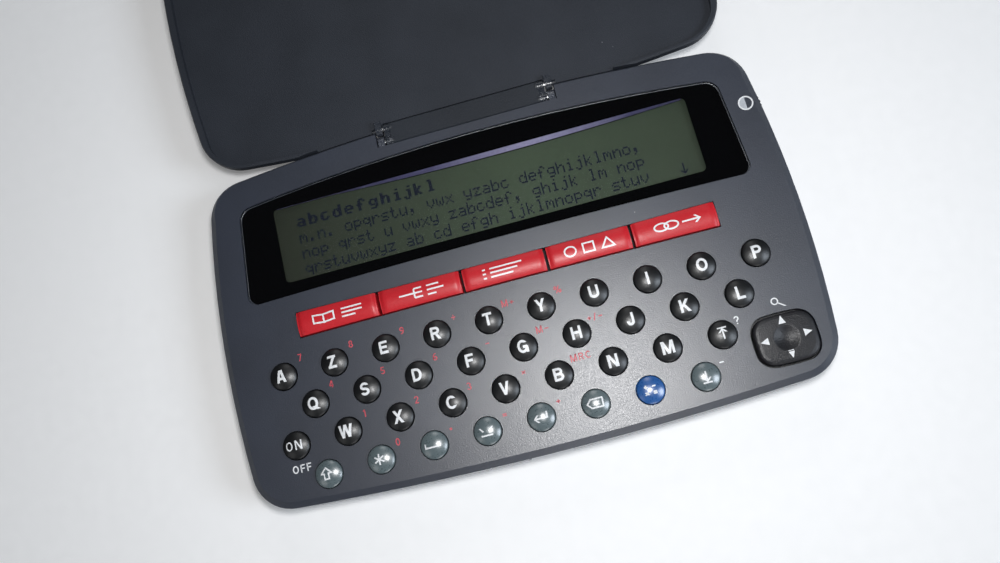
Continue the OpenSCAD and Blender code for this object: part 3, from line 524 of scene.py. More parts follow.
# Letters and signs on a box one unit high: a width, then strokes along their middle lines
STEM = post(0.095)
TOP = 0.905
FOOT = 0.095
GLYPHS = {
    "A": (0.7, [[(0.115, 0), (0.315, 1)], [(0.585, 0), (0.385, 1)], bar(0.2, 0.5, 0.3)]),
    "B": (0.66, [STEM, [(0.09, TOP), (0.36, TOP), *arc(0.36, 0.7125, 0.17, 0.1925, 80, -90), (0.09, 0.52)],
                 [(0.3, 0.52), *arc(0.38, 0.3075, 0.19, 0.2125, 90, -90), (0.09, FOOT)]]),
    "C": (0.68, [arc(0.36, 0.5, 0.265, 0.41, 42, 318)]),
    "D": (0.66, [STEM, [(0.09, TOP), (0.28, TOP), *arc(0.28, 0.5, 0.285, 0.405, 85, -90), (0.09, FOOT)]]),
    "E": (0.58, [STEM, bar(0.09, 0.57, TOP), bar(0.09, 0.53, 0.51), bar(0.09, 0.58, FOOT)]),
    "F": (0.56, [STEM, bar(0.09, 0.56, TOP), bar(0.09, 0.5, 0.49)]),
    "G": (0.72, [arc(0.36, 0.5, 0.265, 0.41, 42, 345), bar(0.38, 0.64, 0.45), post(0.625, 0.5, 0)]),
    "H": (0.68, [STEM, post(0.585), bar(0.09, 0.59, 0.51)]),
    "I": (0.19, [STEM]),
    "J": (0.5, [[(0.405, 1), (0.405, 0.29), *arc(0.24, 0.29, 0.165, 0.195, -10, -180), (0.075, 0.36)]]),
    "K": (0.68, [STEM, [(0.55, 1), (0.15, 0.4)], [(0.27, 0.58), (0.57, 0)]]),
    "L": (0.55, [STEM, bar(0.09, 0.55, FOOT)]),
    "M": (0.82, [STEM, post(0.725), [(0.12, 1), (0.41, 0)], [(0.7, 1), (0.41, 0)]]),
    "N": (0.7, [STEM, post(0.605), [(0.12, 1), (0.58, 0)]]),
    "O": (0.74, [arc(0.37, 0.5, 0.275, 0.41)]),
    "P": (0.62, [STEM, [(0.09, TOP), (0.35, TOP), *arc(0.35, 0.68, 0.18, 0.225, 80, -90), (0.09, 0.455)]]),
    "Q": (0.74, [arc(0.37, 0.5, 0.275, 0.41), [(0.42, 0.27), (0.68, 0.01)]]),
    "R": (0.66, [STEM, [(0.09, TOP), (0.37, TOP), *arc(0.37, 0.695, 0.17, 0.21, 80, -90), (0.09, 0.485)],
                 [(0.34, 0.49), (0.56, 0)]]),
    "S": (0.64, [[*arc(0.32, 0.705, 0.205, 0.2, 22, 262), *arc(0.32, 0.295, 0.215, 0.205, 82, -158)]]),
    "T": (0.62, [bar(0.0, 0.62, TOP), post(0.31, 0, 0.95)]),
    "U": (0.68, [[(0.095, 1), (0.095, 0.34), *arc(0.34, 0.34, 0.245, 0.245, 190, 350), (0.585, 0.34),
                  (0.585, 1)]]),
    "V": (0.68, [[(0.1, 1), (0.34, 0)], [(0.58, 1), (0.34, 0)]]),
    "W": (0.96, [[(0.1, 1), (0.275, 0)], [(0.48, 1), (0.275, 0)], [(0.48, 1), (0.685, 0)],
                 [(0.86, 1), (0.685, 0)]]),
    "X": (0.68, [[(0.1, 1), (0.58, 0)], [(0.58, 1), (0.1, 0)]]),
    "Y": (0.68, [[(0.1, 1), (0.34, 0.42)], [(0.58, 1), (0.34, 0.42)], post(0.34, 0.5, 0)]),
    "Z": (0.62, [bar(0.03, 0.585, TOP), bar(0.02, 0.6, FOOT), [(0.48, 0.9), (0.13, 0.1)]]),
    "0": (0.56, [arc(0.28, 0.5, 0.205, 0.425)]),
    "1": (0.42, [post(0.3), [(0.3, 0.92), (0.1, 0.78)]]),
    "2": (0.56, [[*arc(0.28, 0.7, 0.205, 0.225, 170, -30), (0.09, 0.1)], bar(0.06, 0.51, 0.075)]),
    "3": (0.56, [arc(0.26, 0.72, 0.185, 0.205, 155, -85), arc(0.27, 0.29, 0.205, 0.22, 85, -155)]),
    "4": (0.56, [[(0.36, 1), (0.06, 0.3)], bar(0.04, 0.53, 0.28), post(0.39)]),
    "5": (0.56, [bar(0.12, 0.48, 0.925), [(0.13, 0.95), (0.1, 0.48)],
                 arc(0.27, 0.31, 0.205, 0.235, 140, -150)]),
    "6": (0.56, [arc(0.28, 0.3, 0.205, 0.225), arc(0.37, 0.36, 0.295, 0.56, 185, 75)]),
    "7": (0.56, [bar(0.05, 0.51, 0.925), [(0.46, 0.9), (0.2, 0)]]),
    "8": (0.56, [arc(0.28, 0.73, 0.17, 0.195), arc(0.28, 0.29, 0.205, 0.215)]),
    "9": (0.56, [arc(0.28, 0.7, 0.205, 0.225), arc(0.19, 0.64, 0.295, 0.56, 5, -105)]),
    "+": (0.6, [bar(0.06, 0.54, 0.45), post(0.3, 0.21, 0.69)]),
    "-": (0.6, [bar(0.06, 0.54, 0.45)]),
    "x": (0.6, [[(0.11, 0.26), (0.49, 0.64)], [(0.11, 0.64), (0.49, 0.26)]]),
    ":": (0.6, [bar(0.06, 0.54, 0.45), post(0.3, 0.64, 0.8), post(0.3, 0.1, 0.26)]),
    "=": (0.6, [bar(0.06, 0.54, 0.56), bar(0.06, 0.54, 0.34)]),
    ".": (0.4, [arc(0.2, 0.42, 0.1, 0.1)]),
    "/": (0.4, [[(0.34, 1), (0.06, 0)]]),
    "%": (0.9, [arc(0.2, 0.74, 0.13, 0.19), arc(0.7, 0.26, 0.13, 0.19),
                 [(0.64, 1), (0.26, 0)]]),
    "?": (0.54, [[*arc(0.27, 0.71, 0.2, 0.22, 170, -50), (0.28, 0.42), (0.28, 0.27)],
                 post(0.28, 0.0, 0.14)]),
}


def word_strokes(word, height, tracking=0.14, wide=1.0):
    """The strokes of a row of glyphs, centred on the origin, in millimetres, widened by a factor."""
    strokes = []
    at = 0.0
    for letter in word:
        width, paths = GLYPHS[letter]
        strokes += [np.array(path) * (wide, 1) + (at, 0) for path in paths]
        at += width * wide + tracking
    middle = np.array([(at - tracking) / 2, 0.5])
    return [(path - middle) * height for path in strokes]


def finely(path, step):
    """The path with points no further apart than the step."""
    path = np.asarray(path, float)
    parts = [path[:1]]
    for start, end in zip(path[:-1], path[1:]):
        count = max(1, int(math.ceil(np.linalg.norm(end - start) / step)))
        share = (np.arange(1, count + 1) / count)[:, None]
        parts.append(start + (end - start) * share)
    return np.vstack(parts)


def edges_of(path, width, step):
    """The two edges of a stroke: the path moved half a width to both sides along the mitre at each point.
    A steep open end is cut level, as in a plain sans letter."""
    path = finely(path, step)
    closed = np.allclose(path[0], path[-1])
    if closed:
        path = path[:-1]
    before = np.roll(path, 1, 0)
    after = np.roll(path, -1, 0)
    if not closed:
        before[0] = 2 * path[0] - path[1]
        after[-1] = 2 * path[-1] - path[-2]
    way_in = (path - before) / np.linalg.norm(path - before, axis=1)[:, None]
    way_out = (after - path) / np.linalg.norm(after - path, axis=1)[:, None]
    way = way_in + way_out
    way /= np.linalg.norm(way, axis=1)[:, None]
    side = np.stack([-way[:, 1], way[:, 0]], -1)
    plain = np.stack([-way_in[:, 1], way_in[:, 0]], -1)
    reach = np.minimum(1 / np.maximum(np.sum(side * plain, 1), 0.2), 1.6)
    side *= reach[:, None]
    if not closed:
        for end in (0, -1):
            rise = way[end, 1]
            if abs(rise) > 0.55:
                side[end] = (-np.sign(rise) / max(abs(rise), 0.6), 0)
    return path + side * width / 2, path - side * width / 2, closed


def stroke_mesh(strokes, width, height_at, lift, sink=0.04, step=0.3):
    """Points and faces of strokes as low bars: their top lies a lift above the surface, their foot in it."""
    points = []
    faces = []
    base = 0
    for stroke in strokes:
        left, right, closed = edges_of(stroke, width, step)
        count = len(left)
        plan = np.stack([left, right, right, left], 1)
        level = height_at(plan[..., 0], plan[..., 1])
        level = level + np.array([lift, lift, -sink, -sink])
        points.append(np.concatenate([plan, level[..., None]], -1).reshape(-1, 3))
        row = np.arange(count if closed else count - 1)
        following = (row + 1) % count
        for side in range(4):
            beside = (side + 1) % 4
            quads = [row * 4 + side, row * 4 + beside, following * 4 + beside, following * 4 + side]
            faces += (np.stack(quads, -1) + base).tolist()
        if not closed:
            faces.append([base + 3, base + 2, base + 1, base])
            last = base + 4 * (count - 1)
            faces.append([last, last + 1, last + 2, last + 3])
        base += 4 * count
    return np.vstack(points), faces


def moved(strokes, x, y, turn=0.0):
    """The strokes turned by an angle in degrees, and moved."""
    c, s = math.cos(math.radians(turn)), math.sin(math.radians(turn))
    turn_by = np.array([[c, s], [-s, c]])
    return [np.asarray(path, float) @ turn_by + (x, y) for path in strokes]


def flat_at(level):
    """A level surface."""
    return lambda x, y: np.full(np.shape(x), float(level))


def mark_piece(name, strokes, width, height_at, material, body, lift=MARK_RISE):
    """A printed mark on a surface."""
    return new_piece(name, stroke_mesh(strokes, width, height_at, lift), body, material, sharp=30.0)


# Round keys

KEY_DOME = 0.8
KEY_FLANGE = 0.8
KEY_EDGE = 0.12
FLANGE_RIM = 0.3
FLANGE_TOP = 0.6


def dome_height(centre, radius, top):
    """The height of a key's dome, the part of a sphere that drops by KEY_DOME at the cap's edge."""
    sphere = (radius ** 2 + KEY_DOME ** 2) / (2 * KEY_DOME)

    def level(x, y):
        away = (x - centre[0]) ** 2 + (y - centre[1]) ** 2
        return top - sphere + np.sqrt(np.maximum(sphere ** 2 - away, 0.01))

    return level


def round_cap(node):
    """A domed cap with a small rounded edge on a flange that falls off outwards: a profile turned about the
    key's middle."""
    low, high = box_mm(node)
    centre = (low + high)[:2] / 2
    flange = (high - low)[0] / 2
    radius = flange - KEY_FLANGE
    top = high[2] - MARK_RISE
    level = dome_height(centre, radius, top)
    dome = [(r, float(level(centre[0] + r, centre[1]))) for r in np.linspace(radius - KEY_EDGE, 0.0, 18)]
    edge = [(radius - KEY_EDGE + KEY_EDGE * math.sin(a), dome[0][1] - 0.05 - KEY_EDGE * (1 - math.cos(a)))
            for a in np.radians([90, 65, 40, 20])]
    foot = [(flange, low[2]), (flange, low[2] + FLANGE_RIM), (radius, low[2] + FLANGE_TOP)]
    shape = turned([*foot, *edge, *dome[:-1], (0.02, top)], centre)
    cap = new_piece(node + "_cap", shape, node, slot=SLOT_OF[node])
    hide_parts(node)
    return centre, level


def arrow(x, y, length, head, turn):
    """A shaft with an open head, pointing along a way in degrees."""
    shaft = [[(-length / 2, 0), (length / 2, 0)],
             [(length / 2 - head, head), (length / 2, 0), (length / 2 - head, -head)]]
    return moved(shaft, x, y, turn)


SIGNS = {
    "back": arrow(0, 0, 2.0, 0.7, 90) + [bar(-0.9, 0.9, 1.25)],
    "shift": [[(-0.45, -1.0), (-0.45, 0.1), (-1.1, 0.1), (0, 1.2), (1.1, 0.1), (0.45, 0.1), (0.45, -1.0),
               (-0.45, -1.0)]],
    "star": [post(0, 1.1, -1.1), [(-0.95, 0.55), (0.95, -0.55)], [(0.95, 0.55), (-0.95, -0.55)]],
    "space": [[(-1.5, 0.45), (-1.5, -0.4), (1.5, -0.4), (1.5, 0.45)]],
    "accent": [[(-1.3, 0.7), (-0.6, -0.1)], [(0.6, -0.1), (1.3, 0.7)], bar(-1.2, 1.2, -0.9)],
    "enter": [[(1.3, 0.9), (1.3, -0.3), (-1.2, -0.3)], [(-0.5, 0.45), (-1.25, -0.3), (-0.5, -1.05)]],
    "erase": [[(-1.6, 0), (-0.8, 0.85), (1.5, 0.85), (1.5, -0.85), (-0.8, -0.85), (-1.6, 0)],
              [(-0.2, 0.35), (0.7, -0.35)], [(-0.2, -0.35), (0.7, 0.35)]],
    "calc": [path for sign, x, y in (("+", -0.8, 0.65), ("-", 0.8, 0.65), ("x", -0.8, -0.6), ("=", 0.8, -0.6))
             for path in moved(word_strokes(sign, 1.5), x, y)],
    "next": arrow(0, 0, 2.0, 0.7, -90) + [bar(-0.9, 0.9, -1.25)],
}
SIGN_STROKE = 0.3
ON_STROKE = 0.27
LETTER_STROKE = 0.52
ON_H = 1.9
LETTER_H = 2.6

for node in sorted(n for n in nodes if n.startswith("key_")):
    middle, dome = round_cap(node)
    label = node.removeprefix("key_")
    if label in SIGNS:
        strokes, width = SIGNS[label], SIGN_STROKE
    elif label == "on":
        strokes, width = word_strokes("ON", ON_H, 0.2, 1.15), ON_STROKE
    else:
        strokes, width = word_strokes(label.upper(), LETTER_H, wide=1.2), LETTER_STROKE
    # The real print sits a little to the left, most at the left end of the keyboard
    x, y = middle + (0.0022 * middle[0] - 0.14, 0.06)
    mark_piece(node + "_mark", moved(strokes, x, y), width, dome, WHITE_INK, node)


# Mode keys

MODE_FLANGE = 0.8
MODE_SIDE = 0.3
MODE_CROWN = 0.7
MODE_END = 1.1
MODE_END_DROP = 0.45
MODE_BEVEL = 0.22


def mode_level(low, high):
    """The top of a mode key: a crown across its depth, rolled down near both ends."""
    middle = (low + high) / 2
    half = (high - low)[1] / 2 - MODE_FLANGE
    crown_r = (half ** 2 + MODE_CROWN ** 2) / (2 * MODE_CROWN)
    half_l = (high - low)[0] / 2 - MODE_SIDE

    def level(x, y):
        drop = crown_r - np.sqrt(crown_r ** 2 - np.minimum(np.abs(y - middle[1]), half) ** 2)
        past = np.clip((np.abs(x - middle[0]) - (half_l - MODE_END)) / MODE_END, 0, 1)
        return high[2] - drop - MODE_END_DROP * (1 - np.sqrt(1 - 0.96 * past ** 2))

    return level


def slot_half(x):
    """Half the depth of the mode keys' caps: a slot waisted at the middle, less its clearance."""
    return SLOT_HALF_D + SLOT_WAIST * (2 * x / SLOT_L) ** 2 - MODE_GAP


def border_of(grid):
    """The outer points of a grid, once round it."""
    return np.concatenate([grid[:, 0], grid[-1, 1:], grid[-2::-1, -1], grid[0, -2:0:-1]])


def mode_cap(node):
    """A crowned cap: a grid over its plan for the top, with upright sides down to its flange."""
    low, high = box_mm(node)
    middle = np.array([(low[0] + high[0]) / 2, sum(corner[1] for corner in box_mm("mode_key_3")) / 2])
    level = mode_level(low, high)
    along = middle[0] + (high[0] - low[0]) / 2 * np.sin(np.linspace(-1, 1, 41) * math.pi / 2)
    depth = np.sin(np.linspace(-1, 1, 17) * math.pi / 2)
    x, v = np.meshgrid(along, depth, indexing="ij")
    y = middle[1] + slot_half(x) * v
    top = np.stack([x, y, level(x, y)], -1)
    foot = border_of(top)
    foot[:, 2] = low[2] + 0.1
    ring = border_of(np.arange(x.size).reshape(x.shape))
    below = x.size + np.arange(len(ring))
    sides = np.stack([ring, below, np.roll(below, -1), np.roll(ring, -1)], -1)
    faces = strip_faces(*x.shape, False).tolist() + sides.tolist() + [below[::-1].tolist()]
    points = np.vstack([top.reshape(-1, 3), foot])
    cap = new_piece(node + "_cap", (points, faces), node, slot="key_red", sharp=50.0)
    bevel = cap.modifiers.new("soft edges", "BEVEL")
    bevel.width = MODE_BEVEL * MM
    bevel.segments = 3
    bevel.limit_method = "ANGLE"
    bevel.angle_limit = math.radians(38)
    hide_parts(node)
    return middle, level


BOOK = [[(-1.7, 0.7), (-1.7, -0.75), (0, -0.95), (1.7, -0.75), (1.7, 0.7), (0, 0.5), (-1.7, 0.7)],
        post(0, 0.5, -0.95)]
LINES = [bar(0, 3.4, 0.75), bar(0, 3.4, 0), bar(0, 2.2, -0.75)]
FORK = [bar(-3.4, -0.9, 0), post(-0.9, -0.85, 0.85), *[bar(-0.9, 0.4, y) for y in (0.85, -0.85, 0)]]
MODE_SIGNS = [
    moved(BOOK, -2.2, 0.1) + moved(LINES, 0.8, 0),
    FORK + [bar(1.2, 3.2, 0.85), bar(1.2, 3.9, 0), bar(1.2, 2.6, -0.85)],
    [path for level, length in ((0.8, 5.2), (0, 4.4), (-0.8, 3.6))
     for path in (bar(-3.4, -2.9, level), bar(-2.2, -2.2 + length, level))],
    [arc(-3.0, 0, 0.9, 0.9), [(-0.9, -0.85), (-0.9, 0.85), (0.8, 0.85), (0.8, -0.85), (-0.9, -0.85)],
     [(2.0, -0.85), (3.0, 0.9), (4.0, -0.85), (2.0, -0.85)]],
    [arc(-2.2, 0, 1.1, 0.7), arc(-0.6, 0, 1.1, 0.7)] + arrow(2.5, 0, 2.8, 0.7, 0),
]
MODE_SIGN_SCALE = (1.3, 1.12)
MODE_STROKE = 0.34

for index, strokes in enumerate(MODE_SIGNS):
    node = f"mode_key_{index + 1}"
    middle, level = mode_cap(node)
    grown = [np.asarray(path, float) * MODE_SIGN_SCALE for path in strokes]
    mark_piece(node + "_mark", moved(grown, *middle), MODE_STROKE, level, WHITE_INK, node)


# Direction pad

# Half width, half depth, radius of the sides, radius of the ends, radius of the corners
PAD_CAP = (6.0, 4.8, 26.0, 42.0, 3.0)
PAD_FLANGE = (7.0, 5.8, 27.0, 43.0, 4.0)
PAD_FLANGE_H = 0.55
# How far below the top the foot of the walls is, and the start and the end of the rounded rim
PAD_FOOT = 2.75
PAD_RIM = 0.75
PAD_PILLOW = 0.13
PAD_DRAWN_IN = 0.12
BOWL_DEPTH = 0.62
BOWL_R = 2.55


def four_arcs(half_w, half_d, side_r, end_r, corner, steps=14):
    """The points of an outline of four long arcs joined by corner arcs. A corner's middle is where the long
    arcs, each moved in by the corner's radius, cross."""
    side = np.array([half_w - side_r, 0.0])
    end = np.array([0.0, half_d - end_r])
    gap = end - side
    span = np.linalg.norm(gap)
    reach_side, reach_end = side_r - corner, end_r - corner
    along = (span ** 2 + reach_side ** 2 - reach_end ** 2) / (2 * span)
    unit = gap / span
    cross = side + unit * along + math.sqrt(reach_side ** 2 - along ** 2) * np.array([-unit[1], unit[0]])
    at_side = math.atan2(*(cross - side)[::-1])
    at_end = math.atan2(*(cross - end)[::-1])
    parts = []
    for centre, radius, start, stop in ((side, side_r, 0, at_side), (cross, corner, at_side, at_end),
                                        (end, end_r, at_end, math.pi / 2)):
        angle = np.linspace(start, stop, steps, endpoint=False)
        parts.append(centre + radius * np.stack([np.cos(angle), np.sin(angle)], -1))
    quarter = np.vstack(parts)
    half = np.vstack([quarter, [(0.0, half_d)], (quarter * (-1, 1))[::-1]])
    return np.vstack([half, (half * (1, -1))[::-1][1:-1]])


def at_height(plan, z):
    """The points of a plan at one height."""
    return np.column_stack([plan, np.full(len(plan), z)])


def pad_piece():
    """A pillow with a thumb dimple: rings of one outline drawn in step by step, its height falling off at the
    rim along a quarter of an ellipse, less a bowl about the middle."""
    low, high = box_mm("direction_pad")
    middle = (low + high)[:2] / 2
    quarter = np.linspace(0, math.pi / 2, 10)
    inside = np.linspace(0.86, 0.02, 30)
    share = np.concatenate([[1.0, 1.0], 1 - (1 - np.cos(quarter)) * PAD_DRAWN_IN, inside])
    rise = np.concatenate([[-PAD_FOOT, -PAD_RIM], -PAD_RIM + (PAD_RIM - PAD_PILLOW) * np.sin(quarter),
                           -PAD_PILLOW + PAD_PILLOW * (1 - inside ** 2) ** 0.8])
    outline = four_arcs(*PAD_CAP)
    rings = np.zeros((len(share), len(outline), 3))
    rings[:, :, :2] = middle + outline * share[:, None, None]
    away = np.linalg.norm(rings[:, :, :2] - middle, axis=-1)
    bowl = BOWL_DEPTH * np.clip(1 - (away / BOWL_R) ** 2, 0, 1) ** 1.2
    rings[:, :, 2] = high[2] + rise[:, None] - bowl
    plate = middle + four_arcs(*PAD_FLANGE)
    flange = [at_height(plate, z) for z in (low[2], low[2] + PAD_FLANGE_H)]
    for part, shape, sharp in (("cap", rings, 60.0), ("flange", flange, 35.0)):
        piece = new_piece("direction_pad_" + part, closed_loft(shape), "pad", slot="pad_plastic", sharp=sharp)
        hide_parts("direction_pad")
    return middle, high[2]


def filled(name, corners, level, material, body, lift=MARK_RISE, sink=0.03):
    """A flat printed patch with a small thickness: its outline, straight up and down."""
    shape = closed_loft([at_height(corners, level - sink), at_height(corners, level + lift)])
    return new_piece(name, shape, body, material)


ARROW_HEAD = [(0.85, 0.0), (-0.75, 0.72), (-0.75, -0.72)]
ARROW_PLACES = ((-0.05, 3.6, 90), (0.0, -3.2, 270), (-4.3, 0.15, 180), (4.15, 0.2, 0))
ARROW_DROP = 0.055
ARROW_SINK = 0.12

pad_middle, pad_top = pad_piece()
for index, (dx, dy, turn) in enumerate(ARROW_PLACES):
    corners = moved([ARROW_HEAD], pad_middle[0] + dx, pad_middle[1] + dy, turn)[0]
    filled(f"pad_arrow_{index + 1}", corners, pad_top - ARROW_DROP, WHITE_INK, "pad", sink=ARROW_SINK)


# Legends on the face, at (x, y) from the first key's column and the rear row's crown

LEGEND_ORIGIN = np.array([-49.5, -8.875])
RED_LEGENDS = (
    ("7", 4.0, 2.5), ("8", 15.0, 2.5), ("9", 26.0, 2.5), (":", 37.0, 2.5), ("M+", 48.5, 2.5),
    ("%", 59.0, 2.5), ("4", 9.4, -4.5), ("5", 20.4, -4.5), ("6", 31.5, -4.5), ("-", 42.5, -4.5),
    ("M-", 54.0, -4.5), ("+/-", 64.8, -4.8), ("1", 14.9, -12.0), ("2", 25.9, -12.0), ("3", 36.9, -12.0),
    ("x", 48.2, -12.0), ("MRC", 60.0, -11.8), ("0", 20.4, -19.2), (".", 31.4, -19.2), ("=", 42.5, -19.2),
    ("+", 53.5, -19.2),
)
WHITE_LEGENDS = (("OFF", 0.2, -19.6), ("?", 91.4, -12.6), ("-", 86.2, -19.7))
FACE_AT = flat_at(FACE_Z)


def legend_strokes(legends, height):
    """The strokes of words, each at its place on the face."""
    strokes = []
    for word, *place in legends:
        strokes += moved(word_strokes(word, height, 0.2, 1.12), *(place + LEGEND_ORIGIN))
    return strokes


mark_piece("legends_red", legend_strokes(RED_LEGENDS, 1.5), 0.2, FACE_AT, RED_INK, "body", lift=0.015)
glass_x, glass_y = np.array([99.5, -10.9]) + LEGEND_ORIGIN
magnifier = [arc(glass_x, glass_y, 0.62, 0.62),
             [(glass_x + 0.5, glass_y - 0.4), (glass_x + 1.8, glass_y - 1.35)]]
white = legend_strokes(WHITE_LEGENDS, 1.6) + magnifier
mark_piece("legends_white", white, 0.25, FACE_AT, WHITE_INK, "body", lift=0.015)
dial_x, dial_y = np.array([106.6, 30.4]) + LEGEND_ORIGIN
dial = [arc(dial_x, dial_y, 1.42, 1.42)]
mark_piece("contrast_sign", dial, 0.3, FACE_AT, WHITE_INK, "body", lift=0.016)
filled("contrast_sign_half", arc(dial_x, dial_y, 1.3, 1.3, 90, 270), FACE_Z, GREY_INK, "body", lift=0.013)


# Display: dot rows, the printed border of the lens, and the pale step at the rear of its window, with painted
# light on the step and a painted shadow line in front of it

# Each letter's rows of dots, the last of them at the foot of an 8 dot cell
DOTS = {
    "a": ".###. ....# .#### #...# .#### .....",
    "b": "#.... #.... #.##. ##..# #...# #...# ####. .....",
    "c": ".###. #.... #.... #...# .###. .....",
    "d": "....# ....# .##.# #..## #...# #...# .#### .....",
    "e": ".###. #...# ##### #.... .###. .....",
    "f": "..##. .#..# .#... ###.. .#... .#... .#... .....",
    "g": ".#### #...# #...# .#### ....# .###.",
    "h": "#.... #.... #.##. ##..# #...# #...# #...# .....",
    "i": "..#.. ..... .##.. ..#.. ..#.. ..#.. .###. .....",
    "j": "...#. ..... ..##. ...#. ...#. ...#. #..#. .##..",
    "k": "#.... #.... #..#. #.#.. ##... #.#.. #..#. .....",
    "l": ".##.. ..#.. ..#.. ..#.. ..#.. ..#.. .###. .....",
    "m": "##.#. #.#.# #.#.# #...# #...# .....",
    "n": "#.##. ##..# #...# #...# #...# .....",
    "o": ".###. #...# #...# #...# .###. .....",
    "p": "####. #...# #...# ####. #.... #....",
    "q": ".##.# #..## #...# .#### ....# ....#",
    "r": "#.##. ##..# #.... #.... #.... .....",
    "s": ".#### #.... .###. ....# ####. .....",
    "t": ".#... .#... ###.. .#... .#... .#..# ..##. .....",
    "u": "#...# #...# #...# #..## .##.# .....",
    "v": "#...# #...# #...# .#.#. ..#.. .....",
    "w": "#...# #...# #.#.# #.#.# .#.#. .....",
    "x": "#...# .#.#. ..#.. .#.#. #...# .....",
    "y": "#...# #...# #...# .#### ....# .###.",
    "z": "##### ...#. ..#.. .#... ##### .....",
    ".": ".##.. .##.. .....",
    ",": ".##.. .##.. ..#.. .#...",
    " ": ".....",
}
# Runs of the alphabet, cut into lengths such as words have
DOT_ROWS = (
    ("abcdefghijkl", 24.0, True),
    ("m.n. opqrstu, vwx yzabc defghijklmno,", 20.25, False),
    ("nop qrst u vwxy zabcdef, ghijk lm nop", 16.75, False),
    ("qrstuvwxyz ab cd efgh ijklmnopqr stuv", 13.3, False),
)
DOT_PITCH = np.array([0.34, 0.385])
DOT_SIZE = np.array([0.315, 0.355])
DOT_THICK = 0.03
DOTS_LEFT = -41.2
DISPLAY_TOP = box_mm("lcd_glass")[1][2]
LENS_FOOT = box_mm("display_lens")[0][2]
# The window's left, right, front and rear edges
WINDOW = (-45.5, 45.6, 9.95, 26.62)
WINDOW_CORNER = 1.0
WINDOW_MIDDLE = (0.0, 18.255)


def dot_places():
    """The lower left corner of every lit dot. A bold letter has its dots twice, one step apart."""
    lit = []
    for words, top, bold in DOT_ROWS:
        at = 0
        for letter in words:
            rows = DOTS[letter].split()
            for row, cells in enumerate(rows, 8 - len(rows)):
                columns = [column for column, cell in enumerate(cells) if cell == "#"]
                for column in columns + [c + 1 for c in columns if bold]:
                    lit.append(np.array([DOTS_LEFT, top]) + (at + column, -row) * DOT_PITCH)
            at += (7 if letter in "ijl" else 8) if bold else 6
    return np.unique(np.round(lit, 4), axis=0)


def dots_piece():
    """Every lit dot as a thin square tile: its corners from its place and the dot's size."""
    corner = dot_places()
    square = np.array([(0, 0), (1, 0), (1, 1), (0, 1)]) * DOT_SIZE
    plan = corner[:, None, :] + square[None]
    low = np.concatenate([plan, np.full(plan.shape[:2] + (1,), DISPLAY_TOP + 0.001)], -1)
    high = low + (0, 0, DOT_THICK)
    points = np.concatenate([low, high], 1).reshape(-1, 3)
    tile = np.array([(0, 3, 2, 1), (4, 5, 6, 7), (0, 1, 5, 4), (1, 2, 6, 5), (2, 3, 7, 6), (3, 0, 4, 7)])
    faces = (tile[None] + 8 * np.arange(len(corner))[:, None, None]).reshape(-1, 4).tolist()
    return new_piece("display_dots", (points, faces), "body", NAVY_INK, "display_glass")


def rounded_box(x0, x1, y0, y1, radius):
    """The outline of a rectangle with rounded corners, run anticlockwise."""
    parts = []
    for corner_x, corner_y, start in ((x1 - radius, y0 + radius, -90), (x1 - radius, y1 - radius, 0),
                                      (x0 + radius, y1 - radius, 90), (x0 + radius, y0 + radius, 180)):
        parts += arc(corner_x, corner_y, radius, radius, start, start + 90)
    return np.array(parts)


def blended(corner, before, after, radius, steps=8):
    """An arc that replaces a corner: it touches both sides at the same distance from the corner."""
    toward_before = (before - corner) / np.linalg.norm(before - corner)
    toward_after = (after - corner) / np.linalg.norm(after - corner)
    half = math.acos(float(np.clip(toward_before @ toward_after, -1, 1))) / 2
    bisector = (toward_before + toward_after) / np.linalg.norm(toward_before + toward_after)
    centre = corner + bisector * radius / math.sin(half)
    start = corner + toward_before * radius / math.tan(half) - centre
    end = corner + toward_after * radius / math.tan(half) - centre
    share = np.linspace(0, 1, steps)[:, None]
    chord = start * (1 - share) + end * share
    return centre + chord / np.linalg.norm(chord, axis=1)[:, None] * radius


def lens_outline(inset, front_corner=2.0, rear_corner=3.0):
    """The lens's outline, drawn in by an inset: front and rear edges that are arcs of large radius, sides
    that draw together to the rear, and round corners."""
    half = LENS_HALF_W - inset
    edge = np.linspace(-1, 1, 25)
    x = edge * half
    front = np.stack([x, LENS_FRONT + inset - x ** 2 / (2 * LENS_FRONT_R)], -1)
    x = -edge * (half - LENS_TAPER)
    rear = np.stack([x, LENS_REAR - inset - x ** 2 / (2 * LENS_REAR_R)], -1)
    return np.vstack([
        front[2:-2],
        blended(front[-1], front[-3], rear[0], front_corner),
        blended(rear[0], front[-1], rear[2], rear_corner),
        rear[2:-2],
        blended(rear[-1], rear[-3], front[0], rear_corner),
        blended(front[0], rear[-1], front[2], front_corner),
    ])


def round_trip(outline, step):
    """A closed outline with points no further apart than the step."""
    return finely(np.vstack([outline, outline[:1]]), step)[:-1]


def along_rays(outline, middle, angles):
    """Where the rays from a middle point cross a closed outline that goes once round it."""
    outline = outline - middle
    turn = np.arctan2(outline[:, 1], outline[:, 0]) % (2 * math.pi)
    order = np.argsort(turn)
    turn = np.concatenate([turn[order] + whole * 2 * math.pi for whole in (-1, 0, 1)])
    crossing = [np.interp(angles, turn, np.tile(outline[order, axis], 3)) for axis in (0, 1)]
    return np.stack(crossing, -1) + middle


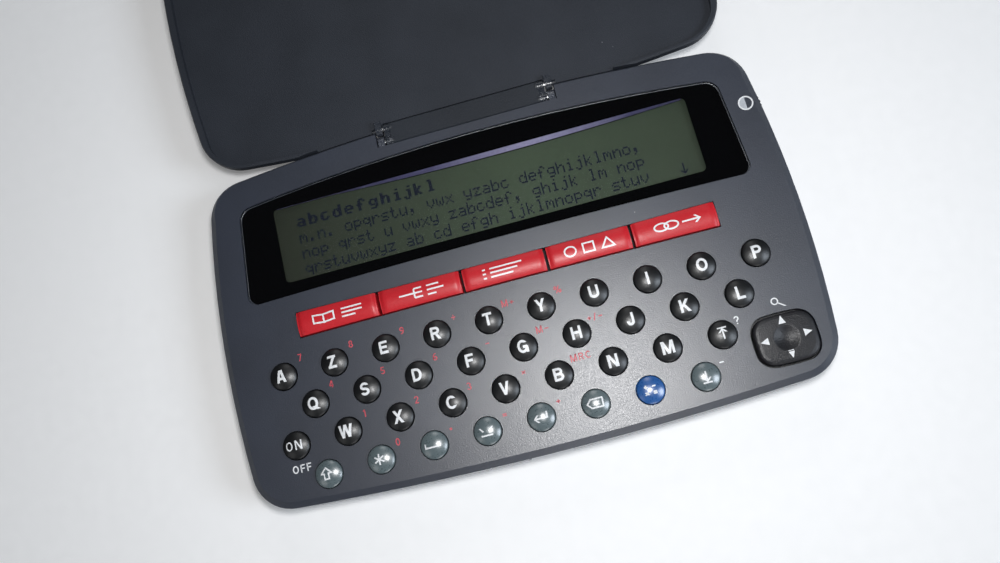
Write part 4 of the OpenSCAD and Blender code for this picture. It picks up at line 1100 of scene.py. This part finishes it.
def border_piece():
    """The black print under the lens: a thin ring between matching points of the lens and the window."""
    middle = np.array(WINDOW_MIDDLE)
    inner = round_trip(rounded_box(*WINDOW, WINDOW_CORNER), 1.0)
    spokes = np.arctan2(*(inner - middle).T[::-1]) % (2 * math.pi)
    outer = along_rays(round_trip(lens_outline(0.1), 0.5), middle, spokes)
    low, high = LENS_FOOT + 0.002, LENS_FOOT + 0.03
    rings = [at_height(inner, high), at_height(outer, high), at_height(outer, low), at_height(inner, low)]
    here = np.arange(len(inner))
    after = np.roll(here, -1)
    faces = []
    for k in range(4):
        a, b = k * len(inner), (k + 1) % 4 * len(inner)
        faces += np.stack([a + here, b + here, b + after, a + after], -1).tolist()
    return new_piece("lens_print", (np.vstack(rings), faces), "body", BLACK_INK, "lens_acrylic")


def window_edge(name, front, back, height, material):
    """A ribbon along the window's rear edge: a slope that rises from its front to its back, run from side to
    side. It narrows towards both ends as the square of the way from its widest place."""
    widest = 8.0
    lip = 0.07
    under_print = 0.3
    across = np.linspace(-44.9, 45.0, 60)
    share = np.clip(1 - 0.85 * ((across - widest) / 40.0) ** 2, 0.1, 1)
    section = np.array([(front, 0), (front, lip), (back, height), (under_print, height), (under_print, 0)])
    rings = np.zeros((len(across), len(section), 3))
    rings[:, :, 0] = across[:, None]
    rings[:, :, 1] = WINDOW[3] + under_print - (under_print - section[:, 0]) * share[:, None]
    rings[:, :, 2] = DISPLAY_TOP + 0.02 + section[:, 1]
    return new_piece(name, closed_loft(rings), "body", material, "frame_plastic")


dots_piece()
down = arrow(41.4, 12.0, 2.3, 0.75, -90)
mark_piece("display_arrow", down, 0.3, flat_at(DISPLAY_TOP), NAVY_INK, "body", lift=DOT_THICK)
border_piece()
window_edge("window_step", -0.85, 0.0, LENS_FOOT - DISPLAY_TOP - 0.04, step_material())
# Painted shadow: a thin black bar in front of the step stands for the shade in the groove under its lip
window_edge("window_painted_shadow", -1.03, -0.8, 0.08, BLACK_INK)


# Every node gets its finish; the large ones that show get a smooth skin too

for node, piece in nodes.items():
    piece.data.materials.clear()
    piece.data.materials.append(FINISHES[SLOT_OF[node]])
for node in ("top_case", "bottom_case", "lid", "hinge_link", "contrast_wheel", "battery_door", "hinge_pins"):
    smooth_copy(node)


# Floor, lights and camera


def floor_piece():
    """A large sheet of plain paper: a flat grid with a faint tone."""
    size = 1200.0
    glow_for_camera = 0.15
    side = np.linspace(-size, size, 9)
    x, y = np.meshgrid(side, side, indexing="ij")
    points = np.stack([x, y + 30, np.full_like(x, -0.02)], -1).reshape(-1, 3) * MM
    mesh = bpy.data.meshes.new("paper_floor")
    mesh.from_pydata(points, [], strip_faces(9, 9, False).tolist())
    material, tree, shader, place = new_material("paper")
    share = evened(tree, noise(tree, scaled(tree, place, 400.0), 4.0))
    seen = wire(tree, "LightPath").outputs["Is Camera Ray"]
    feed(tree, shader, {
        "Base Color": mixed(tree, share, (0.86, 0.86, 0.86, 1), (0.90, 0.90, 0.90, 1)),
        "Roughness": 0.9,
        "Specular IOR Level": 0.2,
        "Emission Strength": calc(tree, "MULTIPLY", seen, glow_for_camera),
        "Emission Color": (1, 1, 1, 1),
    })
    mesh.materials.append(material)
    add_object("paper_floor", mesh)


def add_lamp(name, place, aim, size, power, tint=(1, 1, 1)):
    """A soft round lamp at a place, turned towards a point, both in millimetres."""
    lamp = bpy.data.lights.new(name, "AREA")
    lamp.shape = "DISK"
    lamp.size = size * MM
    lamp.energy = power
    lamp.color = tint
    holder = add_object(name, lamp)
    way = (np.array(aim, float) - np.array(place, float)) * MM
    holder.location = np.array(place, float) * MM
    holder.rotation_euler = Vector(way).to_track_quat("-Z", "Y").to_euler()


floor_piece()
add_lamp("lamp_beside_camera", (18.8, -21, 178), (5, 0, 0), 24, 0.2)
add_lamp("lamp_front_left", (-520, -330, 420), (0, 20, 0), 340, 0.25)
add_lamp("lamp_front_right", (560, -220, 460), (0, 20, 0), 340, 2.4, (0.8, 0.89, 1.0))
add_lamp("lamp_low_front", (60, -620, 190), (0, 0, 5), 300, 0.45)
add_lamp("lamp_rear", (60, 800, 560), (0, 40, 0), 400, 0.65)

world = bpy.data.worlds.new("studio")
bpy.context.scene.world = world
world.use_nodes = True
feed(world.node_tree, world.node_tree.nodes["Background"], {"Color": (0.93, 0.96, 1.0, 1), "Strength": 0.05})

# The camera's place in metres, and its three axes, as fitted to the keys' grid in the photo
CAMERA_PLACE = (0.00776, -0.037145, 0.17092)
RIGHT = (0.96493, -0.23911, -0.10834)
UP = (0.25648, 0.94667, 0.19500)
BACK = (0.05594, -0.21595, 0.97480)
camera_data = bpy.data.cameras.new("camera")
camera_data.lens = 28.8
camera_data.sensor_width = 36.0
camera_data.clip_start = 0.005
camera = add_object("camera", camera_data)
turn = Matrix((RIGHT, UP, BACK)).transposed().to_4x4()
turn.translation = CAMERA_PLACE
camera.matrix_world = turn
bpy.context.scene.camera = camera

bpy.context.scene.view_settings.view_transform = "Standard"
